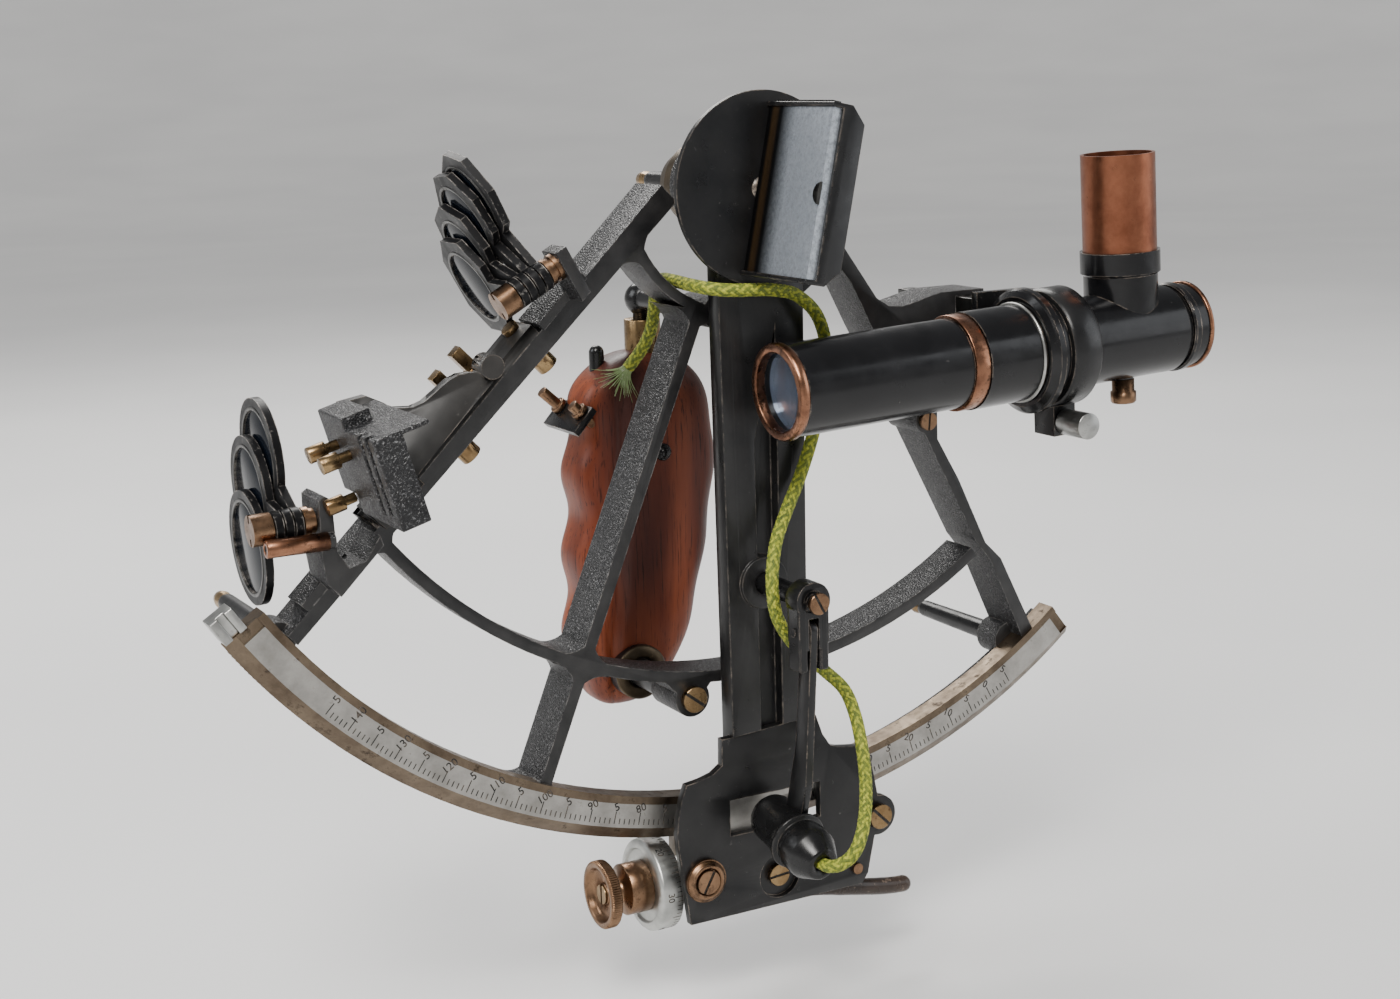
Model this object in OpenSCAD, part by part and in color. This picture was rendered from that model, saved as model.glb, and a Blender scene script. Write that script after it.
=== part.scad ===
/* [Index arm and arc] */
// Radius of the outer ends of the degree ticks, the gauge of the whole instrument
scale_r = 178; // [176:0.5:178]
// Radius at which the silver strip of the scale starts
strip_in_r = 172.2; // [172:0.1:174]
// Width of the silver strip
strip_w = 6.8; // [5:0.1:6.8]
// Radius of the limb's inner edge
limb_in_r = 170; // [169:0.5:171]
// Radius of the limb's outer edge, over the tips of the rack's teeth
limb_out_r = 182.8; // [181:0.1:183]
// Thickness of the brass limb
limb_t = 6.5; // [6:0.5:7]
// Radial depth of the rack's teeth
rack_depth = 1.2; // [0.8:0.1:1.4]
// End of the limb on the side of the high readings, in degrees from straight down
limb_left = 55; // [54:0.5:57]
// End of the limb on the side of the low readings, in degrees from straight down
limb_right = 38.6; // [38:0.2:40]

/* [Frame] */
// Depth of the cast frame from its front edges to its back edges
frame_d = 15; // [13:0.5:16]
// Radius of the flat hub that the frame's bars run into
hub_r = 13.4; // [12.8:0.2:14]
// Middle radius of the small ring under the hub
ring_r = 34.5; // [33:0.5:36]
// Middle radius of the inner arc of the frame
inner_arc_r = 136; // [134:0.5:138]
// Width of the inner arc
arc_w = 3.3; // [2.5:0.1:4]
// Width of the main strut
strut_w = 3.4; // [2.6:0.1:4]
// Angle of the main strut from straight down
strut_a = -22.4; // [-24:0.1:-21]
// Width of the left bar at its foot on the limb
bar_w_foot = 3.6; // [3.2:0.1:4]
// Width of the left bar at the hub
bar_w_top = 6.4; // [5.8:0.1:6.8]
// Height of the feet behind the frame's back edges
leg_h = 43.5; // [42:0.5:45]
// Radius of a leg at the frame
leg_r = 3; // [2.6:0.1:3.6]

/* [Index arm] */
// Thickness of the index arm
arm_t = 6; // [5:0.1:6.4]
// Half the arm's width at the hub
arm_half_top = 13.4; // [12.8:0.1:14]
// Half the arm's width at the reading plate
arm_half_foot = 12.2; // [11.5:0.1:12.8]
// Depth of the channel milled in the arm's face
channel_d = 3.6; // [2:0.1:4]
// Thickness of the reading plate at the arm's foot
plate_t = 2.5; // [2:0.1:2.8]
// Radius of the disc that carries the index mirror
disc_r = 25.7; // [25:0.1:26.5]
// Thickness of that disc
disc_t = 1.6; // [1.2:0.1:1.8]

/* [Mirrors] */
// Lean of the index mirror from upright
index_lean = 12; // [11:0.5:13]
// Length of the index mirror along its own face
index_mirror_l = 43.6; // [42:0.2:44]
// Width of the index mirror across, away from the frame
index_mirror_w = 32; // [30:0.5:33]
// Lean of the horizon mirror from upright
horizon_lean = 15.75; // [15:0.05:16.5]
// Height of the horizon mirror's case along its own face
horizon_case_h = 23.2; // [22.6:0.2:24]
// Thickness of the horizon mirror's case
horizon_case_t = 7.6; // [7:0.1:8]
// Thickness of the mirror glasses
mirror_t = 2.4; // [2:0.1:2.6]

/* [Shades] */
// Radius of the pins that the shades turn on
shade_pin_r = 2; // [1.6:0.1:2.4]
// Thickness of a shade's eye on its pin
eye_t = 2.1; // [1.8:0.1:2.2]
// Radius of an index shade's window
index_window_r = 10; // [9:0.5:11]
// Radius of a horizon shade's disc
horizon_shade_r = 15; // [14:0.5:15.5]
// Radius of a horizon shade's window
horizon_window_r = 11.8; // [11:0.2:12.4]

/* [Telescope] */
// Outer radius of the objective tube
tube_r = 12.5; // [12:0.1:13]
// Wall of the objective tube
tube_wall = 1.5; // [1:0.1:2]
// Distance of the telescope's axis in front of the limb's face
scope_y = 28; // [27.5:0.1:29]
// Rise of the telescope's axis towards the eyepiece, in degrees
scope_rise = 2.67; // [2.4:0.01:2.9]
// Height of the copper tube above its black collar
copper_h = 27.2; // [20:0.2:32]
// Outer radius of the copper tube
copper_r = 10.5; // [10:0.1:11]
// Wall of the copper tube
copper_wall = 0.9; // [0.6:0.1:1.5]

/* [Handle] */
// Depth of the handle's front face behind the limb's face
handle_y = 34; // [33:0.5:36]
// Thickness of the wooden handle
handle_t = 26; // [24:0.5:27]
// Height of the wooden handle
handle_h = 105; // [102:1:106]
// Pitch of the finger grooves
groove_pitch = 24; // [21:0.5:26]
// Depth of the finger grooves
groove_d = 1.8; // [0.5:0.1:2.4]

/* [Micrometer and lamp] */
// Radius of the micrometer drum
drum_r = 13.2; // [12.5:0.1:13.2]
// Width of the drum's graduated band
drum_w = 6; // [5:0.2:7]
// Height of the micrometer's axis below the index axis
drum_z = 195; // [195:0.1:196]
// Length of the worm's thread
worm_l = 23; // [15:0.5:24]
// Length of the lamp's flat arm from its rivet
lamp_arm_l = 52; // [50:0.5:54]
// Radius of the lamp's barrel
lamp_r = 6; // [5.5:0.1:6.4]
// Diameter of the lamp's cord
cord_d = 4; // [3.6:0.1:4.2]

/* [Fits] */
// Radial clearance of pins and shafts in their bores
run_gap = 0.05; // [0.03:0.01:0.1]
// Clearance between pieces that pass each other
pass_gap = 0.4; // [0.3:0.05:0.5]
// Clearance between a piece and the seat that it is set in
seat_gap = 0.05; // [0.02:0.01:0.1]

/* [Hidden] */
$fn = 96;

// Depths: y is 0 at the limb's face and grows away from the viewer
frame_y = 1;
ring_w = 3;
rim_in_r = 172;
rim_out_r = 177.5;
back_y = frame_y + frame_d;
rim_y = 10.5;
inner_arc_y = 13.6;
arm_y = -3.5;
arm_face = arm_y - arm_t;
plate_back = arm_face + plate_t + 0.5;
plate_y = plate_back - plate_t;
// The left bar runs along the line through its foot at this slope
bar_foot = [-129.45, -106.18];
bar_a = 43.13;
bar_l = 150.9;
bar_taper = atan((bar_w_top - bar_w_foot) / bar_l);
// Distance of its lower edge from the index axis, and where the ring and the inner arc run into it
bar_off = cos(bar_a) * bar_foot[1] - sin(bar_a) * bar_foot[0];
ring_end_a = bar_a - 90 - asin(bar_off / ring_r);
arc_end_a = bar_a - 90 - asin(bar_off / inner_arc_r);
// The wing and its fastenings along the bar
wing_y = -4.2;
wing_t = 3.4;
foot_t = 3.2;
post_at = [73.2, 81.3];
nut_at = [64.5, 96];
// The pins of the shades
index_pin = [-74.2, -4, -26.3];
index_pin_a = 28.8;
horizon_pin = [-142.9, -5, -75.6];
eye_pitch = eye_t + 0.4;
eye_r = 4;
index_head_l = 5;
horizon_head_l = 5.2;
index_shade_angle = [180, 162, 140, 125];
horizon_shade_angle = [-22, 8.6, 31.8];
shade_l = 27;
horizon_shade_l = 26;
// The telescope: stations are measured along its axis from the objective's rim
scope_x = -7;
scope_z = -52.1;
st_ring = 3;
st_band = 55.1;
st_rear = 59.9;
st_flange = 79;
st_groove = 82.6;
st_collar = 85.9;
st_body = 95.4;
st_ring2 = 131.2;
stub_st = 115.6;
stub_floor = 18.2;
stub_top = 24.4;
clamp_at = 20.9;
clamp_r = 1.8;
collar_r = 16.8;
stem_x = 74;
stem_z = -38;
stem_w = 5.6;
// The micrometer
drum_y = 7;
drum_x = -30;
worm_gap = 0.3;
worm_r = drum_z - limb_out_r - worm_gap;
worm_pitch = 1.595;
shaft_r = 3;
carrier_x = 13;
carrier_pivot = [35.7, -183.1];
rack_step = 0.5;
strip_t = 0.6;
seat_floor = 0.8;
tip_l = 6.5;
// The lamp
boss_z = -107.7;
boss_x = -1.5;
rivet_z = -116;
rivet_y = -33.5;
lamp_tilt = 12;
// The handle
handle_mid = handle_y + handle_t / 2;
handle_zc = -100.5;
tube_x = -7.5;
button_x = -22.6;
upper_at = [-8, -33.5];
ball_r = 3.8;
grip_tube_r = 5.3;
button_r = 2.2;
terminal_x = 1.8;
terminal_y = [-7, 7];
terminal_h = [4.8, 8.7];
lower_at = [-19, -140.8];
// The cord's route from the lamp's cap to its frayed end on the handle
cord_pts = [[-3.5, -32.8, -177.4], [-3.5, -36.5, -178.2], [-3.5, -40.2, -178.95],
  [-2.85, -44.4, -178.9], [-1, -47.9, -177.2], [1.5, -49.6, -174.2], [4.1, -48.9, -170.5],
  [7.1, -46, -167.2], [10.3, -41.9, -163.7], [13.8, -36.3, -158.6], [16.8, -30, -152.4],
  [18.1, -24.8, -145.2], [16.4, -22.2, -138.4], [10.8, -21.4, -132.4], [4, -22.8, -126.5],
  [-2, -24, -120.5], [-6.2, -24.5, -113.3], [-7.3, -24.4, -105.5], [-5.8, -22.5, -99.2],
  [-2, -18.5, -93.5], [3.5, -15, -86.6], [9, -13, -78.4], [13.3, -12.7, -68.1], [16.8, -12.7, -56.2],
  [18.3, -12.7, -45], [15.2, -13.2, -35], [8.2, -14, -28.8], [0.8, -14.5, -26.8], [-5.2, -14.7, -26.3],
  [-9.7, -14.6, -26.1], [-13.8, -13.4, -25.8], [-16.7, -10.4, -25.4], [-17.8, -6.2, -25.1],
  [-17.8, -1.5, -25], [-17.5, 4.5, -24.8], [-17.2, 10, -24.7], [-16.9, 14.6, -24.8],
  [-16.5, 18.7, -26], [-15.7, 22, -29.3], [-14.8, 24.9, -34], [-14.2, 28.4, -40.2], [-15.4, 32, -46],
  [-18.4, 35.2, -51.5]];

function polar(r, a) = [r * sin(a), -r * cos(a)];
function polar_fn(a) = a - 90;

// A flat outline in x and z, given depth from y0 back to y1
module slab(y0, y1) {
  translate([0, y1, 0]) rotate([90, 0, 0]) linear_extrude(y1 - y0) children();
}

// A round bar along y, along x and along z
module rod_y(at, r, y0, y1) {
  translate([at[0], y1, at[1]]) rotate([90, 0, 0]) cylinder(r = r, h = y1 - y0);
}
module rod_x(at, r, x0, x1) {
  translate([x0, at[0], at[1]]) rotate([0, 90, 0]) cylinder(r = r, h = x1 - x0);
}
module rod_z(at, r, z0, z1) {
  translate([at[0], at[1], z0]) cylinder(r = r, h = z1 - z0);
}

// A flat ring sector between two angles, counted from straight down towards +x
module sector(r0, r1, a0, a1) {
  far = r1 * 1.5;
  n = 6;
  intersection() {
    difference() {
      circle(r = r1, $fn = 360);
      circle(r = r0, $fn = 360);
    }
    polygon(concat([[0, 0]], [for (i = [0:n]) polar(far, a0 + (a1 - a0) * i / n)]));
  }
}

// A straight bar of even width between two points of an outline
module stroke(p, q, w) {
  d = (q - p) / norm(q - p);
  n = [-d[1], d[0]] * w / 2;
  polygon([p + n, q + n, q - n, p - n]);
}

// The sloping frame of reference on the left bar's upper side
module on_bar() {
  translate([bar_foot[0], 0, bar_foot[1]]) rotate([0, -bar_a, 0])
    translate([0, 0, bar_w_foot]) rotate([0, -bar_taper, 0]) children();
}

// A slotted screw head with its axis along y, seen from the front
module slot_head(at, r, y0, h) {
  difference() {
    rod_y(at, r, y0 - h, y0);
    translate([at[0], y0 - h, at[1]]) rotate([0, 35, 0])
      cube([r * 3, 1.4 * h, r * 0.3], center = true);
  }
}

module left_bar_outline() {
  d = [cos(bar_a), sin(bar_a)];
  n = [-sin(bar_a), cos(bar_a)];
  polygon([bar_foot - d * 2, bar_foot + d * bar_l, bar_foot + d * bar_l + n * bar_w_top,
    bar_foot - d * 2 + n * (bar_w_foot - 2 * tan(bar_taper))]);
}

// A concave fillet in the corner of two bars: corner, its two directions and the leg's length
module corner_fillet(c, a0, a1, leg) {
  p = c + leg * [cos(a0), sin(a0)];
  q = c + leg * [cos(a1), sin(a1)];
  mid = (a0 + a1) / 2;
  half = abs(a1 - a0) / 2;
  far = leg / cos(half);
  rad = leg * tan(half);
  difference() {
    polygon([c, p, c + far * 0.99 * [cos(mid), sin(mid)], q]);
    translate(c + far * [cos(mid), sin(mid)]) circle(r = rad);
  }
}

module right_strut_outline() {
  polygon([[6, -15], [14.5, 9.6], [33, -18.3], [38.7, -26.3], [43.9, -33.6], [48, -36.2],
    [53, -36.6], [66, -33.6], [81, -33.6], [81, -44], [70.5, -46.5], [66.5, -52], [64.3, -62],
    [64.5, -76.4], [72, -89.3], [81.7, -109.7], [87.3, -115.2], [100.4, -141.2],
    [96.4, -143.2], [83.7, -115.6], [78.1, -108.7], [57.2, -68.9], [42.3, -41.9],
    [35.5, -28.7], [27, -18.5]]);
}

module frame_outline() {
  difference() {
    union() {
      circle(r = hub_r);
      left_bar_outline();
      sector(ring_r - ring_w / 2, ring_r + ring_w / 2, ring_end_a - 3.5, 48);
      corner_fillet(ring_corner(), bar_a + 180, ring_end_a + 360, 8.5);
      corner_fillet(ring_corner(), ring_end_a, bar_a, 7.5);
      stroke(polar(ring_r, strut_a), polar(limb_in_r + 2, strut_a), strut_w);
      right_strut_outline();
      translate(lower_at) circle(r = 5.3);
      corner_fillet(polar(inner_arc_r + 1, strut_a), strut_a - 90, strut_a - 4, 9);
      corner_fillet(polar(inner_arc_r + 1, strut_a), strut_a - 176, strut_a - 90, 9);
      corner_fillet(polar(inner_arc_r - 1, strut_a), strut_a + 4, strut_a + 90, 9);
      corner_fillet(polar(inner_arc_r - 1, strut_a), strut_a + 90, strut_a + 176, 9);
      corner_fillet(polar(ring_r + 0.5, strut_a), strut_a - 90, strut_a - 10, 9);
      corner_fillet(polar(ring_r + 0.5, strut_a), strut_a - 170, strut_a - 90, 9);
      corner_fillet(polar(limb_in_r + 1.5, strut_a), strut_a + 2, strut_a + 90, 6);
      corner_fillet(polar(limb_in_r + 1.5, strut_a), strut_a + 90, strut_a + 178, 6);
    }
    circle(r = 8 + run_gap);
  }
}

module frame_casting() {
  color("#25272b") difference() {
    union() {
      difference() {
        slab(frame_y, back_y) frame_outline();
        // The struts end behind the limb
        slab(frame_y - 1, limb_t) sector(limb_in_r - 0.01, limb_out_r + 1, -60, 45);
      }
      // The inner arc, and the rim on the limb's back face
      slab(frame_y, inner_arc_y) {
        sector(inner_arc_r - arc_w / 2, inner_arc_r + arc_w / 2, arc_end_a - 0.8, 34.7);
        corner_fillet(polar(inner_arc_r, arc_end_a - 0.4), arc_end_a, bar_a, 7);
        corner_fillet(polar(inner_arc_r, arc_end_a - 0.4), bar_a - 180, arc_end_a, 7);
        stroke(lower_at, polar(inner_arc_r, -6), 4);
        stroke(lower_at, polar(inner_arc_r, -11), 4);
      }
      slab(limb_t, rim_y) sector(rim_in_r, rim_out_r, -limb_left + 0.6, limb_right - 0.6);
      // Bosses of the pillars, of the two outer feet and of a strut's screw
      rod_y([60.5, -70.5], 3.6, frame_y, back_y);
      rod_y(right_foot(), 5.5, limb_t, back_y);
      rod_y(left_foot(), 4.6, limb_t, back_y);
      rod_y(upper_at, 4.4, frame_y, back_y);
    }
    translate([stem_x - stem_w / 2 - run_gap, frame_y - 1, stem_z - stem_w / 2 - run_gap])
      cube([stem_w + 2 * run_gap, frame_d + 2, stem_w + 2 * run_gap]);
    // Holes of the horizon bracket's bolts
    for (s = nut_at) on_bar() translate([s, 8.5, -2 * bar_w_top])
      cylinder(r = 1.6 + seat_gap, h = 3 * bar_w_top);
  }
}
// Where the small ring meets the left bar, a little inside the bar
function ring_corner() = polar(ring_r, ring_end_a) + 0.5 * [-sin(bar_a), cos(bar_a)];
function right_foot() = polar(171.5, 33.6);
function left_foot() = polar(171.5, -51.4);

// The limb: a bevelled brass sector with the rack's teeth behind the bevel
module limb() {
  bevel = 3.6;
  lip = 0.3;
  teeth = floor((limb_left + limb_right - 2) / rack_step);
  color("#6f5b43") {
    rotate([90, 0, 0]) rotate([0, 0, polar_fn(-limb_left)])
      rotate_extrude(angle = limb_left + limb_right, $fn = 360)
        polygon([[limb_in_r, 0], [strip_in_r, 0], [strip_in_r, -strip_t],
          [strip_in_r + strip_w, -strip_t], [strip_in_r + strip_w, 0], [limb_out_r, -bevel],
          [limb_out_r, -bevel - lip], [limb_out_r - rack_depth, -bevel - lip],
          [limb_out_r - rack_depth, -limb_t], [limb_in_r, -limb_t]]);
    slab(bevel + lip, limb_t) rotate(polar_fn(-limb_left + 1)) rack_outline(teeth);
  }
}

// The rack: teeth standing on a band, worked out tooth by tooth
module rack_outline(teeth) {
  root = limb_out_r - rack_depth;
  low = root - 1.5;
  function at(r, a) = [r * cos(a), r * sin(a)];
  polygon(concat(
    [for (i = [0:teeth - 1], k = [0:3])
      at(k == 0 || k == 3 ? root : limb_out_r, (i + [0.08, 0.36, 0.64, 0.92][k]) * rack_step)],
    [for (i = [teeth:-6:0]) at(low, i * rack_step)], [at(low, 0)]));
}

module arc_scale() {
  color("#cfcfc6") rotate([90, 0, 0]) rotate([0, 0, polar_fn(-limb_left + 1)])
    rotate_extrude(angle = limb_left + limb_right - 2, $fn = 360)
      polygon([[strip_in_r, 0], [strip_in_r + strip_w, 0], [strip_in_r + strip_w, -strip_t],
        [strip_in_r, -strip_t]]);
}

// The notched end stop screwed to the limb's left end
module limb_stop() {
  color("#8b8c88") difference() {
    slab(-0.5, 6) sector(limb_out_r - 7.3, limb_out_r - 0.3, -limb_left - 2.2, -limb_left);
    slab(-1, 1.2) sector(limb_out_r - 5, limb_out_r - 2.8, -limb_left - 3, -limb_left + 1);
  }
}

// A turned leg on the frame's back, tapering to its tip
module leg(at, y0) {
  translate([at[0], back_y + y0, at[1]]) rotate([-90, 0, 0]) rotate_extrude()
    polygon([[0, 0], [leg_r + 1, 0], [leg_r + 1, 2], [leg_r, 3], [leg_r - 0.4, leg_h - tip_l - 1.5 - y0],
      [leg_r - 0.7, leg_h - tip_l - y0], [0, leg_h - tip_l - y0]]);
}
module legs() {
  color("#1c1c1e") {
    leg(left_foot(), 0);
    leg(right_foot(), 0);
    leg([0, 0], 14);
  }
}
module leg_tips() {
  color("#a98f6c") for (at = [left_foot(), right_foot(), [0, 0]])
    translate([at[0], back_y + leg_h - tip_l, at[1]]) rotate([-90, 0, 0]) rotate_extrude()
      polygon([[0, 0], [leg_r - 0.7, 0], [leg_r - 0.5, 3], [leg_r - 0.9, 5.4], [leg_r - 1.7, tip_l],
        [0, tip_l]]);
}

// The bearing of the index arm: a flanged bush through the hub with a cap behind
module index_bearing() {
  color("#57503f") difference() {
    union() {
      rod_y([0, 0], 8, frame_y - 3, back_y);
      rod_y([0, 0], 13, frame_y - 3, frame_y);
      translate([0, back_y, 0]) rotate([-90, 0, 0]) rotate_extrude()
        polygon([[0, 0], [12, 0], [12, 6], [10, 9], [9, 14], [0, 14]]);
    }
    rod_y([0, 0], 5 + run_gap, frame_y - 4, back_y + 8);
  }
}

// The wing that holds the horizon mirror: a foot along the bar and a curved plate
module horizon_bracket() {
  color("#26282a") difference() {
    union() {
      on_bar() translate([33, frame_y, 0]) cube([66, 12, foot_t]);
      on_bar() translate([34, wing_y, 0]) cube([15, frame_y + 5, 8]);
      slab(wing_y, wing_y + wing_t) polygon([[-119, -58], [-117.5, -46.6], [-110.8, -45.5],
        [-106.7, -47.5], [-103.8, -49.3], [-98.7, -49.6], [-95.6, -48.6], [-92.3, -46.3],
        [-88.8, -43.8], [-85.9, -42.6], [-83.1, -42.4], [-80.7, -42.6], [-78.9, -43.2],
        [-76.6, -45.3], [-82.7, -51.1], [-89.9, -58.4], [-97.3, -65.8], [-104, -74], [-112, -72.5]]);
      rod_y([-77.2, -41.3], 3.2, wing_y - 1.6, wing_y + wing_t + 1.4);
    }
    horizon_case_space(0);
    for (s = post_at) on_bar() translate([s, 8.5, -1]) cylinder(r = 1.6 + seat_gap, h = 20);
    for (s = nut_at) on_bar() translate([s, 8.5, -1]) cylinder(r = 1.6 + seat_gap, h = 20);
    on_bar() translate([20, wing_y - 1, -20]) cube([80, 30, 20]);
  }
}

// The frame of reference of the horizon mirror: x across its face, z up its face
module on_horizon() {
  translate([-112.62, 0, -59.53]) rotate([0, -horizon_lean, 0]) children();
}
module horizon_case_space(gap) {
  on_horizon() {
    translate([-horizon_case_t - gap, -41.4 - gap, -horizon_case_h / 2 - gap])
      cube([horizon_case_t + 2 * gap, 36.6 + 2 * gap, horizon_case_h + 2 * gap]);
    // The rear part stands higher
    translate([-horizon_case_t - gap, -22, 0])
      cube([horizon_case_t + 2 * gap, 17.2 + gap, horizon_case_h / 2 + 3 + gap]);
  }
}
module horizon_mirror_case() {
  color("#2a2c2e") difference() {
    union() {
      horizon_case_space(0);
      // Hood over the glass
      on_horizon() translate([-1, -41.4, horizon_case_h / 2 - 1.2]) cube([8, 36.6, 1.2]);
    }
    on_horizon() {
      // Recess of the glass in the inner face, and the two slots in the outer one
      translate([-mirror_t - seat_gap, -38, -horizon_case_h / 2 + 2])
        cube([mirror_t + 1, 31, horizon_case_h - 4]);
      for (y = [-37.5, -32.5]) translate([-horizon_case_t - 1, y, -horizon_case_h / 2 + 3])
        cube([3, 2.2, horizon_case_h + 2]);
      translate([-horizon_case_t - 1, -14, -horizon_case_h / 2 - 1]) cube([3.2, 12, 6]);
    }
  }
}
module horizon_mirror_glass() {
  color("#c9d4dc") on_horizon()
    translate([-mirror_t, -38 + seat_gap, -horizon_case_h / 2 + 2 + seat_gap])
      cube([mirror_t - 0.3, 31 - 2 * seat_gap, horizon_case_h - 4 - 2 * seat_gap]);
}

// Bolts of the wing with their nuts, and the mirror's adjusting screws
module horizon_fasteners() {
  color("#b08a52") {
    for (s = post_at) on_bar() translate([s, 8.5, 0]) {
      cylinder(r = 1.6, h = foot_t);
      translate([0, 0, foot_t]) cylinder(r = 2.8, h = 2.4);
      translate([-1.7, -1.7, foot_t + 2.4]) cube([3.4, 3.4, 6.5]);
    }
    for (s = nut_at) on_bar() translate([s, 8.5, 0]) {
      translate([0, 0, -bar_w_top - 2]) cylinder(r = 1.6, h = bar_w_top + 2 + foot_t);
      translate([0, 0, foot_t]) cylinder(r = 2.4, h = 1.6);
    }
    for (s = nut_at) on_bar() translate([s, 8.5, -bar_under(s) - 5.6 - 3.2 * tan(bar_taper)]) difference() {
      cylinder(r = 3, h = 5.6);
      translate([0, 0, -1]) cylinder(r = 1.6, h = 3);
    }
    on_horizon() for (at = [[-12, -7.5], [-20, 5], [-12, 6.5]])
      translate([-horizon_case_t, at[0], at[1]]) rotate([0, -90, 0]) {
        cylinder(r = 1.3, h = 6.5);
        translate([0, 0, 3.2]) cylinder(r = 2.1, h = 4.6);
      }
  }
}

// Depth of the bar's lower edge under its upper side at a station
function bar_under(s) = bar_w_foot + (bar_w_top - bar_w_foot) * s / bar_l;

// The frame of reference of a shade pin: z runs along the pin from its head
module on_index_pin() {
  translate(index_pin) rotate([0, 90 - index_pin_a, 0]) children();
}
module on_horizon_pin() {
  translate(horizon_pin) rotate([0, 90 - scope_rise, 0]) children();
}
index_lug_at = 19;
horizon_lug_at = 16.4;
lug_t = 3.4;

module index_shade_bracket() {
  color("#26282a") difference() {
    union() {
      on_bar() translate([100, -1, 0]) cube([18, 13, 2.6]);
      on_index_pin() translate([-4.2, -4.5, index_lug_at]) cube([22, 9, lug_t]);
    }
    on_index_pin() cylinder(r = shade_pin_r + seat_gap, h = index_lug_at + 2 * lug_t);
    on_bar() translate([80, -12, -30]) cube([60, 40, 30]);
  }
}
module horizon_shade_bracket() {
  color("#2b2b2c") difference() {
    union() {
      on_bar() translate([6, frame_y, 0]) cube([17, 11, 2.6]);
      slab(-9.5, 4) polygon([[-126.5, -69.4], [-125, -68.4], [-123.2, -69.4], [-122.6, -82.5],
        [-119.6, -87.2], [-115.3, -86], [-111.2, -79.9], [-110, -84], [-121, -95.5],
        [-125.6, -90.4], [-126.5, -84]]);
      // Stop rod under the shades
      rod_x([-10.2, -79.4], 2, -140.6, -123.4);
    }
    on_horizon_pin() cylinder(r = shade_pin_r + seat_gap, h = 30);
    on_bar() translate([-20, -12, -30]) cube([60, 40, 30]);
    // The lug ends in front of the bar's upper side
    slab(-10, frame_y) polygon([[-121.4, -97], [-110, -82], [-105, -90]]);
  }
}
module pin_shape(head, lug_at) {
  difference() {
    cylinder(r = 4, h = head);
    translate([-5, -0.5, -1]) cube([10, 1, 1.8]);
  }
  cylinder(r = shade_pin_r, h = lug_at + lug_t);
}
// Washers between the last shade and the lug
module washers(from, to) {
  n = max(1, round((to - from) / 1.4));
  for (i = [0:n - 1]) translate([0, 0, from + (to - from) * i / n]) difference() {
    cylinder(r = i % 2 == 0 ? 3.8 : 3.2, h = (to - from) / n);
    translate([0, 0, -1]) cylinder(r = shade_pin_r, h = 9);
  }
}
module shade_pins() {
  color("#a9744f") {
    on_index_pin() {
      pin_shape(index_head_l, index_lug_at);
      washers(index_head_l + 4 * eye_pitch + pass_gap, index_lug_at);
    }
    on_horizon_pin() {
      pin_shape(horizon_head_l, horizon_lug_at);
      washers(horizon_head_l + 3 * eye_pitch + pass_gap, horizon_lug_at - 0.3);
    }
  }
}

// One index shade in its own plane: x runs from the pin to the window
module index_shade(i) {
  half_l = 12.5;
  half_w = 14;
  clip = 7;
  on_index_pin() rotate([0, 0, 90 - (index_shade_angle[i - 1])]) rotate([0, 0, 180])
    translate([0, 0, index_head_l + pass_gap + (i - 1) * eye_pitch]) {
      difference() {
        union() {
          cylinder(r = eye_r, h = eye_t);
          translate([0, -2.4, 0]) cube([shade_l - half_l + 3, 4.8, eye_t]);
          translate([shade_l, 0, 0]) linear_extrude(eye_t)
            polygon([[-half_l, -half_w + clip], [-half_l + clip, -half_w], [half_l - clip, -half_w],
              [half_l, -half_w + clip], [half_l, half_w - clip], [half_l - clip, half_w],
              [-half_l + clip, half_w], [-half_l, half_w - clip]]);
        }
        translate([0, 0, -1]) cylinder(r = shade_pin_r + run_gap, h = eye_t + 2);
        translate([shade_l, 0, -1]) cylinder(r = index_window_r, h = eye_t + 2);
      }
      translate([shade_l, 0, 0.4]) cylinder(r = index_window_r - seat_gap, h = eye_t - 0.8);
    }
}
module index_shade_1() { color("#2c3036") index_shade(1); }
module index_shade_2() { color("#2c3036") index_shade(2); }
module index_shade_3() { color("#2c3036") index_shade(3); }
module index_shade_4() { color("#2c3036") index_shade(4); }

// One horizon shade: a round disc with its window on a short tang
module horizon_shade(i) {
  on_horizon_pin() rotate([0, 0, 90 + horizon_shade_angle[i - 1]])
    translate([0, 0, horizon_head_l + pass_gap + (i - 1) * eye_pitch]) {
      difference() {
        union() {
          cylinder(r = eye_r, h = eye_t);
          translate([0, -2.6, 0]) cube([horizon_shade_l - horizon_shade_r + 2, 5.2, eye_t]);
          translate([horizon_shade_l, 0, 0]) cylinder(r = horizon_shade_r, h = eye_t);
        }
        translate([0, 0, -1]) cylinder(r = shade_pin_r + run_gap, h = eye_t + 2);
        translate([horizon_shade_l, 0, -1]) cylinder(r = horizon_window_r, h = eye_t + 2);
      }
      translate([horizon_shade_l, 0, 0.4]) cylinder(r = horizon_window_r - seat_gap, h = eye_t - 0.8);
    }
}
module horizon_shade_1() { color("#2c3036") horizon_shade(1); }
module horizon_shade_2() { color("#2c3036") horizon_shade(2); }
module horizon_shade_3() { color("#2c3036") horizon_shade(3); }

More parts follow.
